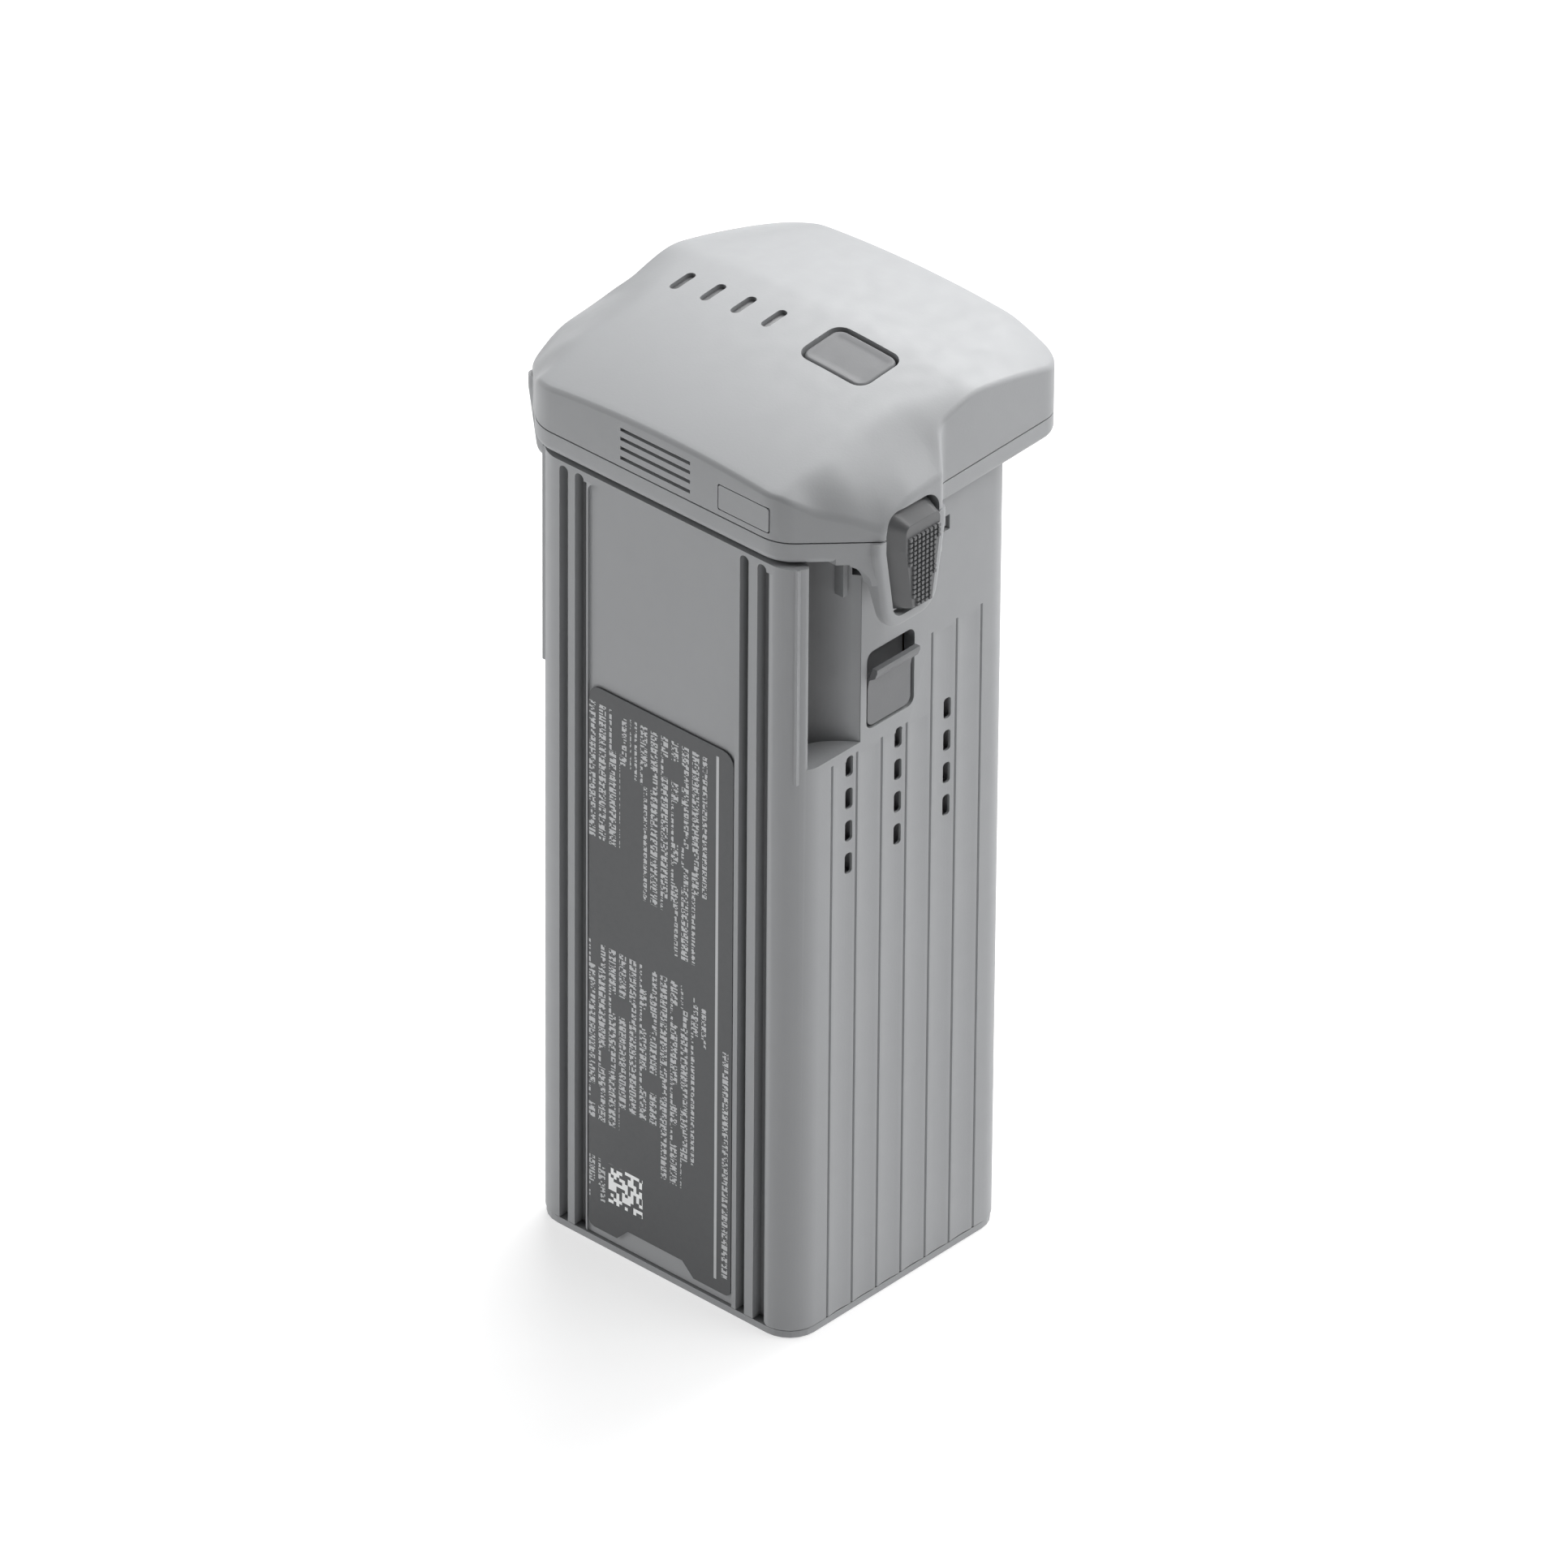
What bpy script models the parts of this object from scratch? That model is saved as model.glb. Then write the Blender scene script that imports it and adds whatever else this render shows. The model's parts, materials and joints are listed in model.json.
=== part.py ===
"""A slide-in smart battery pack: fluted case, wedge head with a power button, and two side latches.

All sizes are in millimetres and become metres through MM. +X runs along the label face, the label
face looks along -Y, and +Z is up. The origin is the bottom centre of the case.
"""

import math
from functools import partial

import bmesh
import bpy
import numpy as np
from mathutils import Matrix, Vector

MM = 0.001
GAP = 0.3  # clearance between pieces that face each other

# Case
BODY_W, BODY_D, BODY_R = 46.0, 41.3, 4.5
WALL = 1.8
CAP_T = 1.0
BODY_Z0, BODY_Z1 = CAP_T + 0.2, 117.4
GROOVES_X = (-17.2, -14.5, 13.9, 16.9)
GROOVE_W, GROOVE_DEPTH = 1.5, 1.0
PANEL_X, PANEL_Z1, PANEL_DEPTH = (-13.2, 12.4), 116.2, 0.5
FLUTE_PITCH, FLUTE_COUNT, FLUTE_Y0, FLUTE_Z1 = 4.68, 7, -13.85, 86.0
FLUTE_W, FLUTE_DEPTH = 0.5, 0.3
VENT_Y, VENT_PITCH, VENT_ROWS, VENT_Z0 = (-10.55, -1.3, 8.0), 4.913, 4, 69.72
VENT_W, VENT_H = 1.3, 3.1
LABEL_Z0 = 2.4
GUIDE_Z0 = 87.2
GUIDE = (
    (20.9, -18.6), (20.2, -15.6), (20.1, -13.2), (20.8, -11.2), (22.9, -8.6), (24.0, -8.6), (24.0, -18.6),
)  # the guide recess in plan, on the right
GUIDE_PAD_X, GUIDE_PAD_Y = (18.3, 22.0), (-19.5, -8.9)
PEG_X, PEG_Y, PEG_Z0 = (20.5, 21.9), (-10.9, -10.1), 109.5
BOSS_X, BOSS_Y, BOSS_R, BOSS_Z, PILOT_R = 18.6, 16.2, 2.7, (4.4, 9.2), 1.1

# Head, drawn about its own centre line
HEAD_X = -1.2
HEAD_FRONT, HEAD_BACK = -20.8, 28.3
LATCH_FACE = 30.3
CHEEKS_X = {"left": (27.2, 26.5), "right": (26.3, 25.6)}  # beside the latch, and at the back
TRAY_Z0, SEAM_Z, SEAM = 117.7, 121.0, 0.2
ROOF = 2.0
RIDGE_Y, FRONT_Z = 10.7, 128.5
CROWN_R = 178.0
EDGE_R = 1.6

# Latches. A surround is as deep behind the latch face as SURROUND says at each height.
LATCH_Y = -5.9
SURROUND = ((3.1, TRAY_Z0), (1.1, 106.5))
PAD_PROUD, PAD_BACK = 0.9, 2.6
OPENING_TOP, OPENING_BOTTOM, OPENING_HALF_W, OPENING_TIP_HALF_W = 124.4, 108.6, 4.95, 3.3
RIM_TOP, RIM_SIDE, RIM_BOTTOM = 0.6, 1.2, 1.6
ARM_X, ARM_T = 19.9, 1.2
WINDOW_Y, WINDOW_Z = (-7.5, 1.5), (88.3, 99.9)
HOOK_Z0, HOOK_TOP, HOOK_LIP, HOOK_PROUD = 94.4, 97.9, 0.8, 1.5
NECK_Y, NECK_Z, ARM_TOP = 2.7, (113.4, 123.4), 111.6
CLIP_Y, CLIP_Z = 7.25, 112.7

# Controls on the head
BUTTON_X, BUTTON_Y, BUTTON_W, BUTTON_D, BUTTON_R = 8.8, 4.35, 9.9, 6.9, 1.9
LIGHT_X0, LIGHT_PITCH, LIGHT_Y, LIGHT_W, LIGHT_L = -19.75, 5.26, 4.25, 1.2, 4.0
LIGHT_COUNT = 4
BOARD_Z, BOARD_T = 125.0, 1.2
SERVICE_X, SERVICE_Z = (9.4, 18.2), (121.9, 125.7)
BAND_LINES_X, BAND_LINES_Z = (-7.3, 4.7), (122.4, 123.85, 125.25, 126.6)

# Cells and electronics
CELL_COUNT, CELL_W, CELL_T, CELL_Z0, CELL_Z1 = 4, 35.0, 8.2, 10.2, 99.0
PAD_T = 0.8
TAB_X, TAB_W, TAB_T, TAB_Z1 = 8.0, 8.0, 0.4, 104.4
CARRIER_Z, CARRIER_T = 103.0, 1.4
MAIN_Z, MAIN_T = 108.4, 1.6
LEAD_R, LEAD_X, LEAD_Y = 1.0, 19.3, 13.0
CONNECTOR_Y, CONNECTOR_W, CONNECTOR_D, CONNECTOR_Z1 = 6.4, 26.0, 11.0, 8.6
SCREW_R, SCREW_HEAD_R, SOCKET_R = 0.9, 1.8, 0.55

COLOURS = {
    "case_grey": ((0.36, 0.365, 0.37), 0.55, 0.0),
    "case_dark": ((0.10, 0.10, 0.105), 0.5, 0.0),
    "label_film": ((0.075, 0.078, 0.08), 0.4, 0.0),
    "light_pipe": ((0.30, 0.31, 0.32), 0.25, 0.0),
    "cell_film": ((0.55, 0.57, 0.60), 0.3, 0.7),
    "foam": ((0.04, 0.04, 0.045), 0.95, 0.0),
    "circuit_board": ((0.02, 0.10, 0.05), 0.45, 0.0),
    "black_plastic": ((0.02, 0.02, 0.022), 0.5, 0.0),
    "nickel": ((0.66, 0.64, 0.60), 0.3, 1.0),
    "spring_steel": ((0.45, 0.45, 0.46), 0.3, 1.0),
    "screw_steel": ((0.25, 0.25, 0.26), 0.35, 1.0),
    "red_silicone": ((0.45, 0.02, 0.02), 0.6, 0.0),
    "black_silicone": ((0.015, 0.015, 0.015), 0.6, 0.0),
    "ribbon_film": ((0.45, 0.22, 0.05), 0.4, 0.0),
    "led_resin": ((0.85, 0.85, 0.78), 0.3, 0.0),
    "white_plastic": ((0.75, 0.74, 0.70), 0.5, 0.0),
}


# ---------------------------------------------------------------- scene helpers
def clear_scene():
    for obj in list(bpy.data.objects):
        bpy.data.objects.remove(obj, do_unlink=True)


def new_collection(name):
    found = bpy.data.collections.new(name)
    bpy.context.scene.collection.children.link(found)
    return found


def make_materials():
    made = {}
    for name, (colour, roughness, metallic) in COLOURS.items():
        material = bpy.data.materials.new(name)
        material.use_nodes = True
        shader = material.node_tree.nodes["Principled BSDF"]
        shader.inputs["Base Color"].default_value = (*colour, 1.0)
        shader.inputs["Roughness"].default_value = roughness
        shader.inputs["Metallic"].default_value = metallic
        made[name] = material
    return made


def add_part(obj, material, parent=None):
    """Puts a finished object among the parts, with its material and its parent."""
    PARTS.objects.link(obj)
    obj.data.materials.clear()
    obj.data.materials.append(MATERIALS[material])
    if parent:
        obj.parent = parent
        obj.matrix_parent_inverse = parent.matrix_world.inverted()
    return obj


def as_tool(obj):
    TOOLS.objects.link(obj)
    obj.hide_render = True
    obj.display_type = "WIRE"
    return obj


def boolean(obj, other, operation):
    if other.name not in TOOLS.objects:
        as_tool(other)
    modifier = obj.modifiers.new(f"{operation.lower()}_{other.name}", "BOOLEAN")
    modifier.operation = operation
    modifier.solver = "EXACT"
    modifier.object = other
    return obj


def cut(obj, *others):
    for other in others:
        boolean(obj, other, "DIFFERENCE")
    return obj


def join(obj, *others):
    for other in others:
        boolean(obj, other, "UNION")
    return obj


def round_edges(obj, width, segments=2, angle=50.0):
    modifier = obj.modifiers.new("round_edges", "BEVEL")
    modifier.width = width * MM
    modifier.segments = segments
    modifier.limit_method = "ANGLE"
    modifier.angle_limit = math.radians(angle)
    return obj


def anchor(name, x, y, z):
    """An empty that a moving piece hangs from."""
    empty = bpy.data.objects.new(name, None)
    empty.empty_display_size = 5 * MM
    PARTS.objects.link(empty)
    empty.location = Vector((x, y, z)) * MM
    bpy.context.view_layer.update()
    return empty


def object_from_bmesh(name, bm):
    bmesh.ops.recalc_face_normals(bm, faces=bm.faces[:])
    mesh = bpy.data.meshes.new(name)
    bm.to_mesh(mesh)
    bm.free()
    return bpy.data.objects.new(name, mesh)


# ---------------------------------------------------------------- outlines
def rounded_polygon(corners, inset=0.0, arc_steps=4, longest=1000.0):
    """Points round a polygon of (x, y, radius) corners, counter-clockwise, moved inwards by inset.

    A side longer than longest is divided. The number of points doesn't depend on the inset.
    """
    count = len(corners)
    spots = [Vector(c[:2]) for c in corners]
    runs = [(spots[(i + 1) % count] - spots[i]).normalized() for i in range(count)]
    points = []
    for i, (spot, corner) in enumerate(zip(spots, corners)):
        before, after = runs[i - 1], runs[i]
        turn = before.cross(after)
        moved = offset_corner(spot, before, after, inset)
        radius = max(corner[2] - inset, 0.05) if turn > 0 else corner[2] + inset
        if corner[2] == 0 or abs(turn) < 1e-6:
            points.append(moved)
        else:
            points.extend(fillet(moved, before, after, radius, arc_steps))
        length = (spots[(i + 1) % count] - spot).length
        points.append(("divide", max(int(math.ceil(length / longest)), 1)))
    return divided(points)


def offset_corner(spot, before, after, inset):
    left_before = Vector((-before.y, before.x))
    left_after = Vector((-after.y, after.x))
    return spot + (left_before + left_after) * inset / (1 + left_before.dot(left_after))


def fillet(corner, before, after, radius, steps):
    angle = math.atan2(before.cross(after), before.dot(after))
    reach = radius * math.tan(abs(angle) / 2)
    start = corner - before * reach
    side = math.copysign(1.0, angle)
    centre = start + Vector((-before.y, before.x)) * radius * side
    spoke = start - centre
    return [centre + Matrix.Rotation(angle * k / steps, 2) @ spoke for k in range(steps + 1)]


def divided(points):
    spots = [p for p in points if isinstance(p, Vector)]
    found, seen = [], 0
    for point in points:
        if isinstance(point, Vector):
            found.append(point)
            seen += 1
            continue
        here, there = spots[seen - 1], spots[seen % len(spots)]
        found.extend(here.lerp(there, k / point[1]) for k in range(1, point[1]))
    return [(p.x, p.y) for p in found]


def rectangle(x0, x1, y0, y1, radius=0.0, arc_steps=4):
    corners = [(x0, y0, radius), (x1, y0, radius), (x1, y1, radius), (x0, y1, radius)]
    return rounded_polygon(corners, arc_steps=arc_steps)


def case_outline(inset=0.0, arc_steps=6):
    x, y = BODY_W / 2 - inset, BODY_D / 2 - inset
    return rectangle(-x, x, -y, y, max(BODY_R - inset, 0.5), arc_steps)


def head_corners():
    """The head in plan about its centre line, counter-clockwise from the front left."""
    halves = {
        side: [
            (20.7, HEAD_FRONT, 6.0),
            (LATCH_FACE, HEAD_FRONT + LATCH_FACE - 20.7, 1.5),
            (LATCH_FACE, LATCH_Y + 5.6, 1.5),
            (cheek, LATCH_Y + 9.4, 3.0),
            (cheek_back, HEAD_BACK, 4.0),
        ]
        for side, (cheek, cheek_back) in CHEEKS_X.items()
    }
    return halves["right"] + [(-x, y, r) for x, y, r in reversed(halves["left"])]


def head_outline(inset=0.0):
    points = rounded_polygon(head_corners(), inset, arc_steps=4, longest=5.0)
    return [(x + HEAD_X, y) for x, y in points]


def shield_corners(above=0.0, beside=0.0, below=0.0):
    """The latch opening in (y, z), with its margins: square shoulders above, tapering to a narrow foot."""
    right = [
        (OPENING_TIP_HALF_W + beside * 0.8, OPENING_BOTTOM - below, 1.8 + beside),
        (OPENING_HALF_W + beside, 119.0, 4.0),
        (OPENING_HALF_W + beside, OPENING_TOP + above, 2.8 + above),
    ]
    both = right + [(-y, z, r) for y, z, r in reversed(right)]
    return [(y + LATCH_Y, z, r) for y, z, r in both]


# ---------------------------------------------------------------- solids
AXES = {
    "Z": Matrix.Identity(4),
    "Y": Matrix.Rotation(math.radians(90), 4, "X"),
    "X": Matrix(((0, 0, 1, 0), (1, 0, 0, 0), (0, 1, 0, 0), (0, 0, 0, 1))),
}


def plate(name, loops, low, high, axis="Z"):
    """A flat outline, with holes, given thickness from low to high along an axis.

    Loops are in (x, y) for axis Z, in (x, z) for axis Y and in (y, z) for axis X.
    """
    curve = bpy.data.curves.new(name, "CURVE")
    curve.dimensions = "2D"
    curve.fill_mode = "BOTH"
    curve.extrude = (high - low) / 2
    for loop in loops:
        spline = curve.splines.new("POLY")
        spline.points.add(len(loop) - 1)
        for point, (u, v) in zip(spline.points, loop):
            point.co = (u, v, 0, 1)
        spline.use_cyclic_u = True
    return mesh_object(name, curve, (low + high) / 2 * (-1 if axis == "Y" else 1), AXES[axis])


def mesh_object(name, curve, along, turn):
    """The curve as a welded mesh in metres, moved along its own Z and turned by a matrix."""
    helper = bpy.data.objects.new(name, curve)
    bpy.context.scene.collection.objects.link(helper)
    graph = bpy.context.evaluated_depsgraph_get()
    mesh = bpy.data.meshes.new_from_object(helper.evaluated_get(graph))
    bpy.data.objects.remove(helper, do_unlink=True)
    bm = bmesh.new()
    bm.from_mesh(mesh)
    bpy.data.meshes.remove(mesh)
    bmesh.ops.remove_doubles(bm, verts=bm.verts[:], dist=0.001)
    bmesh.ops.dissolve_limit(bm, angle_limit=0.002, verts=bm.verts[:], edges=bm.edges[:])
    bmesh.ops.transform(bm, matrix=Matrix.Scale(MM, 4), verts=bm.verts[:])
    made = object_from_bmesh(name, bm)
    made.matrix_world = turn @ Matrix.Translation((0, 0, along * MM))
    return made


def block(name, x, y, z):
    """A box from three (low, high) pairs."""
    bm = bmesh.new()
    bmesh.ops.create_cube(bm, size=1.0)
    size = Vector((x[1] - x[0], y[1] - y[0], z[1] - z[0])) * MM
    bmesh.ops.scale(bm, vec=size, verts=bm.verts[:])
    made = object_from_bmesh(name, bm)
    made.location = Vector((x[0] + x[1], y[0] + y[1], z[0] + z[1])) * MM / 2
    return made


def rod(name, x, y, z0, z1, radius, segments=20):
    bm = bmesh.new()
    bmesh.ops.create_cone(
        bm, cap_ends=True, segments=segments, radius1=radius * MM, radius2=radius * MM, depth=(z1 - z0) * MM
    )
    made = object_from_bmesh(name, bm)
    made.location = Vector((x, y, (z0 + z1) / 2)) * MM
    return made


def turned(name, profile, x, y, z, up=1.0, segments=20):
    """A turned shape: (radius, height) pairs run down its outer side. up = -1 turns it over."""
    bm = bmesh.new()
    spots = [bm.verts.new((r * MM, 0, h * MM)) for r, h in profile]
    for first, second in zip(spots, spots[1:]):
        bm.edges.new((first, second))
    mesh = bpy.data.meshes.new(name)
    bm.to_mesh(mesh)
    bm.free()
    made = bpy.data.objects.new(name, mesh)
    screw = made.modifiers.new("turn", "SCREW")
    screw.steps = screw.render_steps = segments
    screw.use_merge_vertices = True
    screw.merge_threshold = 0.00001
    made.location = Vector((x, y, z)) * MM
    if up < 0:
        made.rotation_euler = (math.pi, 0, 0)
    return made


def tube(name, path, radius, resolution=2):
    curve = bpy.data.curves.new(name, "CURVE")
    curve.dimensions = "3D"
    curve.bevel_depth = radius * MM
    curve.bevel_resolution = resolution
    curve.use_fill_caps = True
    spline = curve.splines.new("POLY")
    spline.points.add(len(path) - 1)
    for point, spot in zip(spline.points, path):
        point.co = (*(Vector(spot) * MM), 1)
    return bpy.data.objects.new(name, curve)


def lofted(name, rings, first_centre, last_centre):
    """A closed skin through rings of equal length, with a fan at each end."""
    bm = bmesh.new()
    rows = [[bm.verts.new(Vector(p) * MM) for p in ring] for ring in rings]
    for row, following in zip(rows, rows[1:]):
        for k in range(len(row)):
            nxt = (k + 1) % len(row)
            bm.faces.new((row[k], row[nxt], following[nxt], following[k]))
    for row, centre in ((rows[0], first_centre), (rows[-1], last_centre)):
        tip = bm.verts.new(Vector(centre) * MM)
        for k in range(len(row)):
            bm.faces.new((row[k], row[(k + 1) % len(row)], tip))
    return object_from_bmesh(name, bm)


# ---------------------------------------------------------------- head surface
# Beyond a crease on each side the head falls away, by so much when it reaches the latch face.
SIDE_Y = (-12.5, -9.5, -6.0, -3.0, 0.0, 3.0, 6.0, 9.0, 12.0, 15.0, 18.0, 21.0, 24.0, 28.3)
SIDE_CREASE = (21.0, 20.7, 20.5, 20.6, 21.0, 22.0, 22.5, 22.5, 22.0, 21.0, 20.0, 19.0, 18.0, 16.0)
SIDE_DROP = (9.0, 3.8, 4.3, 4.8, 5.4, 3.2, 1.4, 0.2, 0.1, 1.0, 1.7, 2.5, 3.3, 4.3)


def head_top(x, y):
    """Height of the head: crowned front facet, ridge, rear facet, and a fall beyond each side crease."""
    if y < RIDGE_Y:
        run = y - HEAD_FRONT
        height = FRONT_Z + 0.2904 * run - 0.0041 * run * run
    else:
        run = y - RIDGE_Y
        height = head_top(0, RIDGE_Y - 1e-6) - 0.085 * run - 0.001 * run * run
    if x == 0:
        return height
    crease = float(np.interp(y, SIDE_Y, SIDE_CREASE))
    aside = max(abs(x - HEAD_X) - crease, 0) / (LATCH_FACE - crease)
    drop = float(np.interp(y, SIDE_Y, SIDE_DROP)) * aside ** 1.2
    return height - x * x / (2 * CROWN_R) - drop


def edge_drop(inset, radius):
    """How far a rounded top edge lies below the surface, at a distance in from the wall."""
    short = max(radius - inset, 0.0)
    return radius - math.sqrt(radius * radius - short * short)


def cover_rings(inset, roof, floor_z, radius):
    """Rings of one skin of the cover, from its middle out and down to floor_z."""
    rim = [(x, y) for x, y in head_outline(inset + radius)]
    centre = (HEAD_X, 4.0)
    rings = []
    for share in (0.12, 0.28, 0.44, 0.6, 0.76, 0.9):
        ring = [(centre[0] + (x - centre[0]) * share, centre[1] + (y - centre[1]) * share) for x, y in rim]
        rings.append([(x, y, head_top(x, y) - roof) for x, y in ring])
    for part in (1.0, 0.6, 0.3, 0.1, 0.0):
        ring = head_outline(inset + radius * part)
        rings.append(
            [
                (x, y, max(head_top(x, y) - roof - edge_drop(radius * part, radius), floor_z + 0.2))
                for x, y in ring
            ]
        )
    rings.append([(x, y, floor_z) for x, y in head_outline(inset)])
    return rings, (*centre, head_top(*centre) - roof)


def domed_plug(name, outline_at, z0, proud, radius):
    """A plug with a flat foot, whose top follows the head's surface."""
    rings = [[(x, y, z0) for x, y in outline_at(0.0)]]
    for part in (0.0, 0.3, 1.0):
        inset = radius * part
        rings.append(
            [(x, y, head_top(x, y) + proud - edge_drop(inset, radius)) for x, y in outline_at(inset)]
        )
    outer = outline_at(radius)
    cx = sum(p[0] for p in outer) / len(outer)
    cy = sum(p[1] for p in outer) / len(outer)
    half = [((x + cx) / 2, (y + cy) / 2) for x, y in outer]
    rings.append([(x, y, head_top(x, y) + proud) for x, y in half])
    return lofted(name, rings, (cx, cy, z0), (cx, cy, head_top(cx, cy) + proud))


def shield_prism(name, corners, x0, x1, inset=0.0):
    return plate(name, [rounded_polygon(corners, inset, arc_steps=4)], x0, x1, "X")


def both_sides():
    return (("left", -1), ("right", 1))


def span(side, near, far, middle=0.0):
    """The (low, high) X pair of something between two distances from a middle plane."""
    return tuple(sorted((middle + side * near, middle + side * far)))


def latch_face_span(side, near, beyond=0.0):
    """From a plain distance off the case's middle to the latch face of the head."""
    return tuple(sorted((side * near, HEAD_X + side * (LATCH_FACE + beyond))))


# ---------------------------------------------------------------- case
def build_body_shell():
    shell = plate("body_shell", [case_outline(), case_outline(WALL)], BODY_Z0, BODY_Z1)
    front = -BODY_D / 2
    for side, sign in both_sides():
        pad_z = (GUIDE_Z0 - 2, BODY_Z1)
        join(shell, block(f"guide_pad_{side}", span(sign, *GUIDE_PAD_X), GUIDE_PAD_Y, pad_z))
        for k, y in enumerate((-BOSS_Y, BOSS_Y)):
            join(shell, rod(f"foot_boss_{side}_{k}", sign * BOSS_X, y, *BOSS_Z, BOSS_R))
            pilot_z = (BOSS_Z[0] - 1, BOSS_Z[1] - 0.6)
            cut(shell, rod(f"foot_bore_{side}_{k}", sign * BOSS_X, y, *pilot_z, PILOT_R))
    for face, sign in (("front", 1), ("back", -1)):
        wall = sign * front
        depth = sorted((wall - sign, wall + sign * GROOVE_DEPTH))
        grooves = [
            rectangle(x - GROOVE_W / 2, x + GROOVE_W / 2, BODY_Z0 - 1, BODY_Z1 - 0.6, 0.6, 2)
            for x in GROOVES_X
        ]
        for k, groove in enumerate(grooves):
            cut(shell, plate(f"{face}_groove_{k}", [groove], *depth, "Y"))
        panel = rectangle(*PANEL_X, BODY_Z0 - 5, PANEL_Z1, 1.5)
        cut(shell, plate(f"{face}_panel", [panel], *sorted((wall - sign, wall + sign * PANEL_DEPTH)), "Y"))
    for side, sign in both_sides():
        cut_side_details(shell, side, sign)
    return add_part(shell, "case_grey")


def cut_side_details(shell, side, sign):
    face = BODY_W / 2
    for k in range(FLUTE_COUNT):
        y = FLUTE_Y0 + k * FLUTE_PITCH
        z1 = FLUTE_Z1 if y < 3 else BODY_Z1 - 20
        groove = rectangle(y - FLUTE_W / 2, y + FLUTE_W / 2, -1, z1)
        cut(shell, plate(f"flute_{side}_{k}", [groove], *span(sign, face - FLUTE_DEPTH, face + 1), "X"))
    for column, y in enumerate(VENT_Y):
        for row in range(VENT_ROWS):
            z = VENT_Z0 + row * VENT_PITCH
            slot = rectangle(y - VENT_W / 2, y + VENT_W / 2, z - VENT_H / 2, z + VENT_H / 2, 0.5, 2)
            cut(shell, plate(f"vent_{side}_{column}{row}", [slot], *span(sign, face - 3, face + 1), "X"))
    cut(shell, plate(f"guide_{side}", [[(sign * x, y) for x, y in GUIDE]], GUIDE_Z0, BODY_Z1 + 1))
    join(shell, block(f"guide_peg_{side}", span(sign, *PEG_X), PEG_Y, (PEG_Z0, BODY_Z1)))
    window = rectangle(*WINDOW_Y, *WINDOW_Z, 1.2, 3)
    cut(shell, plate(f"window_{side}", [window], *span(sign, 20, 25), "X"))
    notch_y = (LATCH_Y - NECK_Y - 0.7, LATCH_Y + NECK_Y + 0.7)
    cut(shell, block(f"neck_notch_{side}", span(sign, 20, 25), notch_y, (112.2, 119)))
    clip = (CLIP_Z - 1.1, CLIP_Z + 1.1)
    cut(shell, block(f"clip_window_{side}", span(sign, 20, 25), (CLIP_Y - 0.65, CLIP_Y + 0.65), clip))


def build_bottom_cap():
    cap = plate("bottom_cap", [case_outline(0.15)], 0, CAP_T)
    inner = WALL + GAP
    collar = plate("cap_collar", [case_outline(inner), case_outline(inner + 1.4)], CAP_T - 0.5, 3.9)
    join(cap, collar)
    mouth = rectangle(-12.2, 12.2, CONNECTOR_Y - 4.7, CONNECTOR_Y + 4.7, 0.8)
    cut(cap, plate("cap_mouth", [mouth], -1, 2))
    for k, (x, y) in enumerate(foot_screws()):
        join(cap, rod(f"cap_pad_{k}", x, y, CAP_T - 0.4, 3.6, 2.35))
        cut(cap, rod(f"cap_bore_{k}", x, y, -1, 5, 1.1), rod(f"cap_sink_{k}", x, y, -1, 1.9, SCREW_HEAD_R))
    return add_part(cap, "case_grey")


def foot_screws():
    return [(x, y) for x in (-BOSS_X, BOSS_X) for y in (-BOSS_Y, BOSS_Y)]


def build_label():
    x0, x1 = PANEL_X[0] + GAP, PANEL_X[1] - GAP
    outline = [
        *rounded_polygon([(x1, LABEL_Z0, 1.0), (x1, 85.9, 1.8), (x0, 85.9, 1.8), (x0, LABEL_Z0, 1.0)]),
        (-7.9, LABEL_Z0),
        (-6.0, LABEL_Z0 + 1.9),
        (3.6, LABEL_Z0 + 1.9),
        (5.6, LABEL_Z0),
    ]
    outer = -BODY_D / 2 + PANEL_DEPTH
    return add_part(plate("rating_label", [outline], outer - 0.33, outer - 0.05, "Y"), "label_film")


# ---------------------------------------------------------------- head
def latch_boss(name, sign, near):
    """The shield-shaped surround of a latch, as a solid reaching out to the latch face."""
    corners = shield_corners(RIM_TOP, RIM_SIDE, RIM_BOTTOM)
    return shield_prism(name, corners, *latch_face_span(sign, near))


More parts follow.
